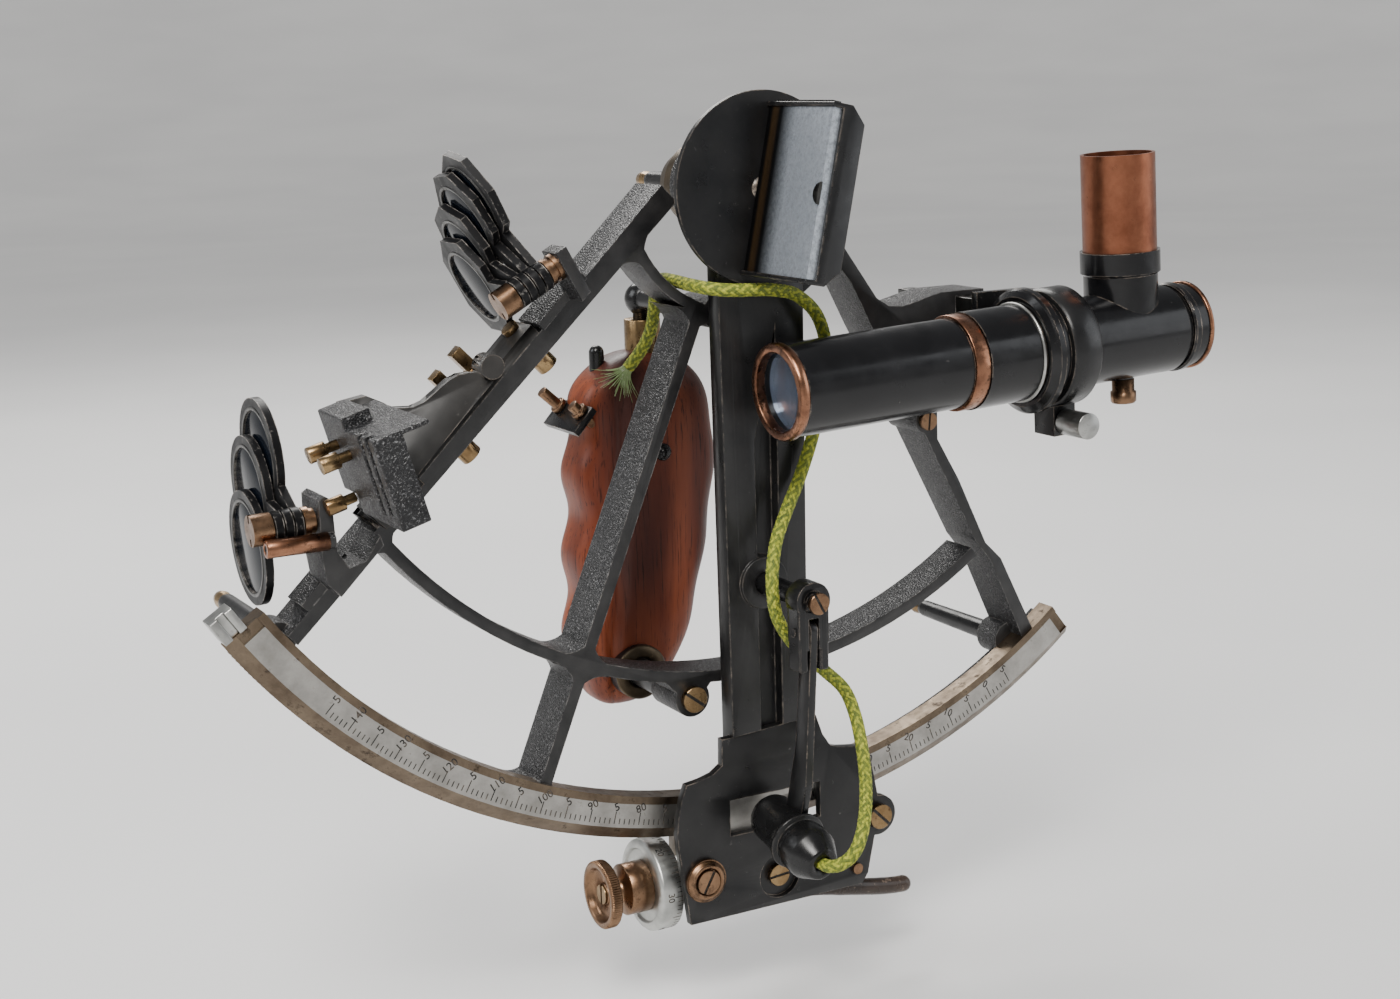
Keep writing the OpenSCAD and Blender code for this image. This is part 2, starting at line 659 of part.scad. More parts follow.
// The handle: rings of a rounded rectangle, wider at the top, with finger grooves on one side
function hand_s(z) = (handle_zc + handle_h / 2 - z) / handle_h;
function hand_mid(z) = -10.1 - 10.5 * pow(max(0, hand_s(z) - 0.25) / 0.75, 1.5);
function hand_half(z) = 23 - 6.2 * pow(max(0, hand_s(z) - 0.3) / 0.7, 1.4);
function hand_end(z) = pow(max(0, 1 - pow(abs(2 * hand_s(z) - 1), 5)), 0.45);
function superpow(c, e) = sign(c) * pow(abs(c), e);
function hand_ring(z, n) = [for (k = [0:n - 1])
  let (a = 360 * k / n, c = superpow(cos(a), 0.62), s = superpow(sin(a), 0.62),
       g = c < 0 ? groove_d * (0.5 - 0.5 * cos(360 * (z + 83) / groove_pitch)) * abs(c) : 0)
  [hand_mid(z) + (hand_half(z) * c + g) * hand_end(z),
   handle_mid + handle_t / 2 * s * pow(hand_end(z), 0.8), z]];
module handle_body() {
  n = 36;
  levels = 34;
  zs = [for (i = [1:levels - 1]) handle_zc - handle_h / 2 * cos(180 * i / levels)];
  pts = concat([[hand_mid(handle_zc - handle_h / 2), handle_mid, handle_zc - handle_h / 2]],
    [for (z = zs, p = hand_ring(z, n)) p],
    [[hand_mid(handle_zc + handle_h / 2), handle_mid, handle_zc + handle_h / 2]]);
  m = len(zs);
  last = len(pts) - 1;
  polyhedron(pts, concat(
    [for (k = [0:n - 1]) [0, 1 + k, 1 + (k + 1) % n]],
    [for (i = [0:m - 2], k = [0:n - 1]) [1 + i * n + k, 1 + (i + 1) * n + k, 1 + i * n + (k + 1) % n]],
    [for (i = [0:m - 2], k = [0:n - 1])
      [1 + i * n + (k + 1) % n, 1 + (i + 1) * n + k, 1 + (i + 1) * n + (k + 1) % n]],
    [for (k = [0:n - 1]) [last, 1 + (m - 1) * n + (k + 1) % n, 1 + (m - 1) * n + k]]));
}
module handle_grip() {
  color("#7a3420") difference() {
    handle_body();
    translate([tube_x, handle_mid, -62]) cylinder(r = grip_tube_r, h = 30);
    rod_y(lower_at, 8, handle_y - 6, handle_y + 3);
    translate([button_x, handle_mid, -62]) cylinder(r = button_r + 0.3, h = 30);
    on_terminal() translate([-4.5, -10.5, -1.2]) cube([9, 21, 40]);
    for (y = terminal_y) on_terminal() translate([terminal_x, y, -6]) cylinder(r = 1.65, h = 9);
  }
}
module handle_tube() {
  color("#b8903f") {
    translate([tube_x, handle_mid, -62]) cylinder(r = grip_tube_r, h = 22.7);
    translate([tube_x, handle_mid, -39.3]) cylinder(r1 = 2.4, r2 = 2, h = 3);
  }
}
module upper_pillar() {
  color("#1d1d1f") difference() {
    union() {
      rod_y(upper_at, 3, back_y, handle_mid);
      translate([tube_x, handle_mid, upper_at[1]]) sphere(r = ball_r, $fn = 48);
    }
    translate([tube_x, handle_mid, -48]) cylinder(r = ball_r * 2, h = 11.7);
  }
}
module lower_pillar() {
  color("#3a3733") {
    rod_y(lower_at, 4, back_y, handle_y);
    rod_y(lower_at, 8, handle_y - 1.5, handle_y + 3);
  }
}
module handle_button() {
  color("#1b1b1b") translate([button_x, handle_mid, -59]) {
    cylinder(r = button_r, h = 11);
    translate([0, 0, 11]) sphere(r = button_r, $fn = 32);
  }
}
// The frame of reference of the terminals: z runs along the posts
module on_terminal() {
  translate([-32, handle_mid, -65.8]) rotate([0, -48, 0]) children();
}
module terminal_plate() {
  color("#2a2825") on_terminal() difference() {
    translate([-4.5, -10.5, -1.2]) cube([9, 21, 2]);
    for (y = terminal_y) translate([terminal_x, y, -6]) cylinder(r = 1.65 + seat_gap, h = 9);
  }
}
module terminal_posts() {
  color("#9a6a4a") on_terminal() for (i = [0, 1])
    translate([terminal_x, terminal_y[i], -6]) {
      cylinder(r = 1.65, h = 6 + terminal_h[i]);
      translate([0, 0, 6.8]) cylinder(r = 2.5, h = 1.6);
    }
}
module frame_screws() {
  color("#b08a52") {
    slot_head([60.5, -70.5], 2.6, frame_y, 1.4);
    slot_head(lower_at, 3.6, frame_y, 1.6);
  }
}

// The index arm: a long plate with a milled channel, with its boss for the lamp's post
module index_arm() {
  foot = -150.5;
  color("#1f2124") difference() {
    union() {
      slab(arm_face, arm_y) {
        circle(r = 16);
        polygon([[-arm_half_top, 0], [-arm_half_foot, foot], [-arm_half_foot, -168],
          [arm_half_foot, -168], [arm_half_foot, foot], [arm_half_top, 0]]);
      }
      rod_y([0, 0], 14, arm_y, frame_y - 3 - 0.3);
      rod_y([boss_x, boss_z], 7.3, arm_face - 1.2, arm_face);
    }
    // Channel with a round lower end
    slab(arm_face - 1, arm_face + channel_d) difference() {
      union() {
        polygon([[-3, -68], [-3, -151.4], [3.9, -151.4], [3.9, -38]]);
        translate([0.45, -151.4]) circle(r = 3.45);
      }
      translate([boss_x, boss_z]) circle(r = 7.3);
    }
    rod_y([0, 0], 3, arm_face - 1, 0);
    slab(plate_y - 1, plate_back) reading_outline();
    slab(arm_face - 1, arm_y + 1) window_outline();
    rod_y([boss_x, boss_z], 2.9 + seat_gap, arm_face - 3, arm_face + 2);
  }
}

module reading_outline() {
  difference() {
    union() {
      polygon([[-12.2, -150.8], [-15.5, -150.8], [-15.7, -158.4], [-18.6, -160.4], [-22.5, -161.4],
        [-27, -162], [-28.6, -166], [-29.8, -171], [-30.3, -175.6], [-30, -180], [-28.5, -191],
        [-26.9, -203], [29.9, -203], [32, -200.2], [34.5, -189], [39, -187.6], [35.7, -177],
        [32.6, -161.2], [26, -160.4], [22.4, -159.8], [19.7, -158.8], [17.2, -155], [15.1, -149]]);
      translate(carrier_pivot) circle(r = 6);
    }
    window_outline();
  }
}
module window_outline() {
  polygon([[-13.5, -169], [16, -169], [16, -179.5], [-13.5, -179.5]]);
}
module reading_plate() {
  color("#1b1c1e") difference() {
    slab(plate_y, plate_back) reading_outline();
    rod_y(carrier_pivot, 2, plate_y - 1, plate_back + 1);
    rod_y([-22.1, -190.6], 1.8, plate_y - 1, plate_back + 1);
    rod_y([28.2, -197.9], 1.6, plate_y - 1, plate_back + 1);
    // Sunk seat of the lower screw
    rod_y([2.2, -194.4], 6.5, plate_y - 1, plate_back - seat_floor);
  }
}
module index_mark() {
  color("#8a6f52") slab(plate_back, plate_back + 1.2) polygon([[-13.5, -168], [16, -168], [16, -171.6],
    [-1, -171.6], [-1, -180.5], [-13.5, -180.5]]);
}
module plate_screws() {
  color("#8d6545") {
    slot_head([-22.1, -190.6], 3.4, plate_y - 1, 1.2);
    rod_y([-22.1, -190.6], 6.2, plate_y - 1, plate_y);
    rod_y([-22.1, -190.6], 1.8, plate_y, plate_back);
    slot_head(carrier_pivot, 3.6, plate_y, 1.6);
    rod_y(carrier_pivot, 2, plate_y, -1.5);
    slot_head([2.2, -194.4], 3.1, plate_back - seat_floor, 1.4);
    rod_y([28.2, -197.9], 1.6, plate_y - 0.8, plate_back);
  }
}
module mirror_disc() {
  color("#232529") difference() {
    rod_y([0, 0], disc_r, arm_face - disc_t, arm_face);
    rod_y([0, 0], 3, arm_face - disc_t - 1, arm_face + 1);
  }
}

// The frame of reference of the index mirror: x is across its face, z up its face
module on_index_mirror() {
  translate([-1.8, arm_face - disc_t, 0]) rotate([0, index_lean, 0]) children();
}
module index_mirror_holder() {
  back = 7;
  color("#1d1e20") on_index_mirror() difference() {
    union() {
      // Plate behind the glass, lips over its two ends and the foot on the disc
      translate([mirror_t, -index_mirror_w - 1, -index_mirror_l / 2]) cube([back, index_mirror_w + 1,
        index_mirror_l]);
      translate([-0.8, -index_mirror_w - 1, index_mirror_l / 2 - 0.01]) cube([back + mirror_t + 0.8,
        index_mirror_w + 1, 1.2]);
      translate([-0.8, -index_mirror_w - 1, -index_mirror_l / 2 - 1.2]) cube([back + mirror_t + 0.8,
        index_mirror_w + 1, 1.2]);
    }
    // Clipped outer corners
    for (s = [-1, 1]) translate([mirror_t + back, -index_mirror_w - 2, s * (index_mirror_l / 2 + 1.2)])
      rotate([0, 45, 0]) cube([6, index_mirror_w * 3, 6], center = true);
  }
}
module index_mirror_glass() {
  color("#dfe6ea") on_index_mirror() translate([0, -index_mirror_w, -index_mirror_l / 2 + seat_gap])
    cube([mirror_t, index_mirror_w - 0.3, index_mirror_l - 2 * seat_gap]);
}
module mirror_clips() {
  color("#8d6545") on_index_mirror() {
    // Half-moon clip on the outer edge of the glass
    difference() {
      translate([-0.9, -index_mirror_w - 1.6, 0]) rotate([0, 90, 0]) cylinder(r = 3.2, h = 6);
      translate([-1, -index_mirror_w - 1, -5]) cube([20, 20, 10]);
    }
    translate([mirror_t + 7, -20, 3]) rotate([0, 90, 0]) cylinder(r = 1.5, h = 3.4);
  }
}
module arm_pivot() {
  color("#9c7a4a") {
    rod_y([0, 0], 3, arm_face - disc_t, arm_y);
    rod_y([0, 0], 5, frame_y - 3.3, back_y + 7.4);
    rod_y([0, 0], 3, arm_y, frame_y - 3.3);
  }
}

// The lamp's bracket: post on the arm, fork, flat arm and housing
module lamp_post() {
  color("#8d6545") {
    rod_y([boss_x, boss_z], 2.9, arm_face - 26, arm_face + 2);
    slot_head([boss_x, boss_z], 2.9, arm_face - 28.4, 0.9);
    rod_y([boss_x, boss_z], 1.9, arm_face - 28.4, arm_face - 26);
  }
}
module lamp_link() {
  color("#232427") difference() {
    union() {
      slab(-36, -30) {
        translate([boss_x, boss_z]) circle(r = 5.2);
        polygon([[boss_x - 4.6, boss_z], [boss_x - 4.6, -119], [boss_x - 3.4, -121], [boss_x + 3.4, -121],
          [boss_x + 4.6, -119], [boss_x + 4.6, boss_z]]);
      }
    }
    rod_y([boss_x, boss_z], 2.9 + run_gap, -40, -20);
    slab(-40, -20) polygon([[boss_x - 1.5, -112.4], [boss_x - 1.5, -130], [boss_x + 1.5, -130],
      [boss_x + 1.5, -112.4]]);
    rod_x([rivet_y, rivet_z], 1.2 + run_gap, boss_x - 8, boss_x + 8);
  }
}
module lamp_arm() {
  w = 2.2;
  color("#26272b") {
    rod_x([rivet_y, rivet_z], 1.2, boss_x - 5.2, boss_x + 5.2);
    difference() {
      translate([boss_x - w / 2, 0, 0]) rotate([90, 0, 90]) linear_extrude(w) union() {
        translate([rivet_y, rivet_z]) circle(r = 2.6);
        polygon([[-36.1, -116], [-30.9, -116], [-30.2, -122], [-27, -150], [-20.5, -172],
          [-28, -173.5], [-32, -160], [-35.6, -122]]);
      }
      on_lamp() lamp_shape();
    }
  }
}
module on_lamp() {
  translate([boss_x - 2, -12, -173]) rotate([90 + lamp_tilt, 0, 0]) children();
}
module lamp_shape() {
  rotate_extrude() polygon([[0, 2], [4.4, 2], [4.4, 0], [lamp_r, 0], [lamp_r, 12.5], [lamp_r + 0.8, 12.5],
    [lamp_r + 0.8, 16], [lamp_r + 0.2, 16.4], [lamp_r + 0.2, 18], [3.4, 28.5], [0, 28.5]]);
}
module lamp_housing() {
  color("#1b1b1c") on_lamp() difference() {
    lamp_shape();
    translate([0, 0, 20]) cylinder(r = cord_d / 2 + 0.35, h = 9);
  }
}

// The worm's carrier swings on the right lobe's screw and carries the drum
module worm_carrier() {
  wall = 4.5;
  color("#4a4436") difference() {
    union() {
      for (x = [-carrier_x - wall, carrier_x]) translate([x, -5.6, -203]) cube([wall, 27, 17]);
      translate([-carrier_x - wall, 19.4, -202]) cube([2 * (carrier_x + wall), 2, 14]);
      slab(-5.6, -1.8) {
        translate(carrier_pivot) circle(r = 5);
        polygon([[carrier_x, -203], [carrier_x, -190], [33.5, -178.6], [39.5, -186.5], [22, -203]]);
      }
    }
    rod_y(carrier_pivot, 2 + run_gap, -10, 0);
    rod_x([drum_y, -drum_z], shaft_r + run_gap, -carrier_x - 2 * wall, carrier_x + 2 * wall);
  }
}
module release_lever() {
  color("#3b3a38") slab(-5.6, -0.6) {
    polygon([[13, -203], [22, -203], [27, -205], [48.5, -207.6], [50.5, -209.5], [48.5, -211.5],
      [34, -209.6], [13, -204.8]]);
  }
}
module drum_index() {
  color("#b9bab4") difference() {
    rod_x([drum_y, -drum_z], 6, -25.6, -carrier_x - 4.5);
    rod_x([drum_y, -drum_z], shaft_r + run_gap, -30, 0);
  }
}
module micrometer_drum() {
  color("#c8c9c2") difference() {
    translate([drum_x - drum_w / 2 - 1.4, drum_y, -drum_z]) rotate([0, 90, 0]) rotate_extrude()
      polygon([[shaft_r, 1], [drum_r - 3, 1], [drum_r - 2.4, 0], [drum_r - 0.5, 0.6], [drum_r, 1.2],
        [drum_r, drum_w + 1], [drum_r - 1, drum_w + 1.4], [shaft_r, drum_w + 1.4]]);
  }
}
module drum_knob() {
  teeth = 40;
  color("#9a7442") translate([drum_x - drum_w / 2 - 0.4, drum_y, -drum_z]) rotate([0, -90, 0]) {
    cylinder(r = 7.3, h = 7);
    translate([0, 0, 7]) cylinder(r = 3.4, h = 4);
    translate([0, 0, 11]) difference() {
      linear_extrude(3.5) polygon([for (i = [0:teeth - 1], k = [0, 1])
        (9.7 - 0.55 * k) * [cos(360 * (i + k / 2) / teeth), sin(360 * (i + k / 2) / teeth)]]);
      translate([0, 0, 1]) cylinder(r = 7.6, h = 6);
    }
    translate([0, 0, 12]) cylinder(r = 3, h = 1.4);
  }
}

// The worm: one thread of V section on its shaft, built as a helical strip closed at both ends
module worm_thread() {
  n = 24;
  turns = floor(worm_l / worm_pitch);
  rows = 2 * turns;
  root = worm_r - rack_depth;
  x0 = -(turns + 1) * worm_pitch / 2;
  function pt(i, j) = let (r = i % 2 == 0 ? root : worm_r, a = 360 * j / n)
    [x0 + worm_pitch * (i / 2 + j / n), r * cos(a), r * sin(a)];
  pts = [for (i = [0:rows], j = [0:n - 1]) pt(i, j)];
  ends = [[x0 - 0.3, 0, 0], [x0 + worm_pitch * (turns + 1) + 0.3, 0, 0]];
  a = len(pts);
  b = a + 1;
  function id(i, j) = j < n ? i * n + j : (i + 2) * n + j - n;
  polyhedron(concat(pts, ends), concat(
    [for (i = [0:rows - 3], j = [0:n - 1]) [id(i, j), id(i + 1, j), id(i + 1, j + 1)]],
    [for (i = [0:rows - 3], j = [0:n - 1]) [id(i, j), id(i + 1, j + 1), id(i, j + 1)]],
    [for (i = [rows - 2, rows - 1], j = [0:n - 2]) [id(i, j), id(i + 1, j), id(i + 1, j + 1)]],
    [for (i = [rows - 2, rows - 1], j = [0:n - 2]) [id(i, j), id(i + 1, j + 1), id(i, j + 1)]],
    [[id(rows - 2, n - 1), id(rows - 1, n - 1), id(rows, 0)]],
    [for (j = [0:n - 1]) [a, id(0, j), id(0, j + 1)]],
    [[a, id(2, 0), id(1, 0)], [a, id(1, 0), id(0, 0)]],
    [for (j = [0:n - 2]) [b, id(rows, j + 1), id(rows, j)]],
    [[b, id(rows, 0), id(rows - 1, n - 1)], [b, id(rows - 1, n - 1), id(rows, n - 1)]]));
}
module worm() {
  color("#8c6d3c") {
    rod_x([drum_y, -drum_z], shaft_r, drum_x - drum_w / 2 - 0.4, carrier_x + 4.5);
    translate([0, drum_y, -drum_z]) worm_thread();
  }
}

// The telescope's frame of reference: z runs along its axis from the objective's rim
module on_scope() {
  translate([scope_x, -scope_y, scope_z]) rotate([0, 90 - scope_rise, 0]) children();
}
module telescope_stem() {
  color("#c9c6ba") translate([stem_x - stem_w / 2, -9, stem_z - stem_w / 2])
    cube([stem_w, 40, stem_w]);
}
module telescope_collar() {
  color("#1e1f22") difference() {
    union() {
      on_scope() rotate_extrude() polygon([[14.2, st_collar], [collar_r - 0.6, st_collar],
        [collar_r, st_collar + 0.8], [collar_r, st_body - 0.8], [collar_r - 0.6, st_body],
        [14.2, st_body]]);
      // Foot on the rising stem, behind the collar
      translate([stem_x - 4.5, -11.6, stem_z - 5]) cube([18.5, 2.6, 10]);
      translate([79, -17, stem_z - 8]) cube([9, 8, 13]);
      // Clamp block under the collar
      on_scope() translate([12, -4.5, st_collar + 1]) cube([12.8, 9, 7.5]);
    }
    on_scope() translate([0, 0, st_collar - 20]) cylinder(r = 14.2, h = 60);
    on_scope() translate([clamp_at, 5, st_collar + 4.7]) rotate([90, 0, 0])
      cylinder(r = clamp_r + run_gap, h = 12);
  }
}
module clamp_screw() {
  color("#b9bab4") on_scope() translate([clamp_at, 5.4, st_collar + 4.7]) rotate([90, 0, 0]) {
    cylinder(r = clamp_r, h = 12);
    translate([0, 0, 10.3]) cylinder(r = 3.7, h = 10.5);
  }
}
module objective_tube() {
  color("#17181a") on_scope() difference() {
    translate([0, 0, st_ring]) cylinder(r = tube_r, h = st_band - st_ring);
    translate([0, 0, st_ring - 1]) cylinder(r = tube_r - tube_wall, h = st_band - st_ring + 2);
  }
}
module telescope_rings() {
  color("#a9744f") on_scope() {
    rotate_extrude() polygon([[tube_r - 1.9, 0], [tube_r + 0.2, 0], [tube_r + 0.6, 0.8],
      [tube_r + 0.6, 2.2], [tube_r, st_ring], [tube_r - 1.9, st_ring]]);
    translate([0, 0, st_band]) difference() {
      cylinder(r = tube_r + 0.8, h = st_rear - st_band);
      translate([0, 0, -1]) cylinder(r = tube_r - tube_wall, h = 20);
    }
  }
}
module objective_lens() {
  color("#9fb3c4") on_scope() translate([0, 0, st_ring + 1.6])
    cylinder(r = tube_r - tube_wall - seat_gap, h = 3);
}
module telescope_body() {
  big = tube_r + 1.1;
  color("#17181a") on_scope() difference() {
    union() {
      rotate_extrude() polygon([[0, st_flange - 4], [big - 2.4, st_flange - 4], [big - 2.4, st_rear],
        [big, st_rear], [big, st_flange - 0.6], [15.4, st_flange - 0.6], [17, st_flange + 0.6],
        [17.6, st_flange + 1.2], [17.6, st_groove - 0.6], [15, st_groove], [15, st_collar - 0.2],
        [14.1, st_collar - 0.2], [14.1, st_body + 0.3], [13.4, st_body + 2], [12.6, st_body + 2],
        [12.6, st_ring2 - 1], [12, st_ring2 + 0.6], [0, st_ring2 + 0.6]]);
      // Upright stub and its collar
      translate([0, 0, stub_st]) rotate([0, -90, 0]) rotate_extrude() polygon([[0, 0],
        [copper_r, 0], [copper_r, stub_floor - 0.6], [copper_r + 0.8, stub_floor],
        [copper_r + 0.8, stub_top], [copper_r, stub_top], [copper_r, stub_floor], [0, stub_floor]]);
      // Drilled screw's seat under the body
      translate([12, 0, stub_st]) rotate([0, 90, 0]) cylinder(r = 2.9, h = 7);
    }
    translate([0, 0, st_ring2 - 8]) cylinder(r = 9.6, h = 12);
  }
}
module copper_tube() {
  color("#8b4a2f") on_scope() translate([-stub_floor, 0, stub_st]) rotate([0, -90, 0]) difference() {
    cylinder(r = copper_r - seat_gap, h = stub_top - stub_floor + copper_h);
    translate([0, 0, -1]) cylinder(r = copper_r - copper_wall - seat_gap, h = 40 + copper_h);
  }
}
module eyepiece() {
  color("#6e4e3c") on_scope() translate([0, 0, st_ring2 - 6]) rotate_extrude()
    polygon([[0, 0], [9.6 - run_gap, 0], [9.6 - run_gap, 6.9], [12.4, 6.9],
      [12.9, 7.4], [12.9, 9], [12.2, 9.6], [12.2, 12.9], [11.9, 13.9], [9.4, 14], [5, 11.4], [0, 11.4]]);
}

// The cord: a round tube swept along its route
function path_at(pts, t) = let (n = len(pts) - 1, u = t * n, i = min(n - 1, floor(u)), f = u - i,
  p0 = pts[max(0, i - 1)], p1 = pts[i], p2 = pts[i + 1], p3 = pts[min(n, i + 2)])
  0.5 * ((2 * p1) + (p2 - p0) * f + (2 * p0 - 5 * p1 + 4 * p2 - p3) * f * f
    + (3 * p1 - p0 - 3 * p2 + p3) * f * f * f);
module lamp_cord() {
  sides = 8;
  rings = 84;
  side = [0.53, 0.85, 0.05];
  pts = [for (i = [0:rings]) path_at(cord_pts, i / rings)];
  tans = [for (i = [0:rings]) let (d = pts[min(rings, i + 1)] - pts[max(0, i - 1)]) d / norm(d)];
  skin = [for (i = [0:rings], k = [0:sides - 1])
    let (u = cross(tans[i], side), e1 = u / norm(u), e2 = cross(tans[i], e1), a = 360 * k / sides)
    pts[i] + cord_d / 2 * (cos(a) * e1 + sin(a) * e2)];
  color("#a9ad3c") polyhedron(skin, concat(
    [[for (k = [0:sides - 1]) k]],
    [for (i = [0:rings - 1], k = [0:sides - 1])
      [i * sides + k, (i + 1) * sides + k, i * sides + (k + 1) % sides]],
    [for (i = [0:rings - 1], k = [0:sides - 1])
      [i * sides + (k + 1) % sides, (i + 1) * sides + k, (i + 1) * sides + (k + 1) % sides]],
    [[for (k = [sides - 1:-1:0]) rings * sides + k]]));
}

frame_casting();
limb();
arc_scale();
limb_stop();
legs();
leg_tips();
index_bearing();
horizon_bracket();
horizon_mirror_case();
horizon_mirror_glass();
horizon_fasteners();
index_shade_bracket();
horizon_shade_bracket();
shade_pins();
handle_grip();
handle_tube();
upper_pillar();
lower_pillar();
terminal_plate();
terminal_posts();
frame_screws();
handle_button();
index_arm();
reading_plate();
index_mark();
plate_screws();
mirror_disc();
index_mirror_holder();
index_mirror_glass();
mirror_clips();
arm_pivot();
lamp_post();
worm_carrier();
release_lever();
drum_index();
micrometer_drum();
drum_knob();
worm();
index_shade_1();
index_shade_2();
index_shade_3();
index_shade_4();
horizon_shade_1();
horizon_shade_2();
horizon_shade_3();
telescope_stem();
telescope_collar();
clamp_screw();
objective_tube();
telescope_rings();
objective_lens();
telescope_body();
copper_tube();
eyepiece();
lamp_link();
lamp_arm();
lamp_housing();
lamp_cord();
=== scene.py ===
"""Looks of the sextant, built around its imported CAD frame: finishes, engraving, cord and studio."""

import logging
import math
from dataclasses import dataclass, field
from enum import Enum

import bmesh
import bpy
import numpy as np
from mathutils import Matrix, Vector

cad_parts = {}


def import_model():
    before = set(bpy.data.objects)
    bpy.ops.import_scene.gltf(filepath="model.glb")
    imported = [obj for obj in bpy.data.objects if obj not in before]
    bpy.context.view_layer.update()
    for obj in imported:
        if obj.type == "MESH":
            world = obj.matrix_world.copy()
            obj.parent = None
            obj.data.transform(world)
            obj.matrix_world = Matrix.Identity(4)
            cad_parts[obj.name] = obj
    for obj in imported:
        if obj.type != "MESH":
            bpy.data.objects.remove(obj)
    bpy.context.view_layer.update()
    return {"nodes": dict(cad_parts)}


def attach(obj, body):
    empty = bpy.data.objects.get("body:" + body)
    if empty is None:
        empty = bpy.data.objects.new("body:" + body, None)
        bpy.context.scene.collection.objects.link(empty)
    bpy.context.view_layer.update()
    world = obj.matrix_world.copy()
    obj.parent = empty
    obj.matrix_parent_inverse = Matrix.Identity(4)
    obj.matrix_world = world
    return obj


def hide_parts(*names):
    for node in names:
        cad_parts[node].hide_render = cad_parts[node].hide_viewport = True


log = logging.getLogger("sextant")
Array = np.ndarray
Color = tuple[float, float, float]
Point = tuple[float, float, float]
Socket = bpy.types.NodeSocket
Material = bpy.types.Material
Object = bpy.types.Object

MM = 0.001
MERGE = 1e-6  # points nearer than this, in metres, are one
CAD_MERGE = 2e-6  # the same for a CAD node's facets
FLAT = math.radians(0.6)  # CAD facets that meet flatter than this are one face
SHARP = math.radians(38)  # edges sharper than this are eased
DIGIT_SIZE = 1.4  # font size for each unit of a digit's height
DIGIT_RAISE = 0.04 * MM
DIGIT_SWELL = 0.02 * MM
ENGRAVED = 0.06  # thickness of an engraved line or of the painted shade in a slot, in millimetres
CUBE = np.array([[x, y, z] for x in (-0.5, 0.5) for y in (-0.5, 0.5) for z in (-0.5, 0.5)])
CUBE_FACES = np.array([[0, 1, 3, 2], [4, 6, 7, 5], [0, 4, 5, 1], [2, 3, 7, 6], [0, 2, 6, 4], [1, 5, 7, 3]])


# ---------------------------------------------------------------- shader building


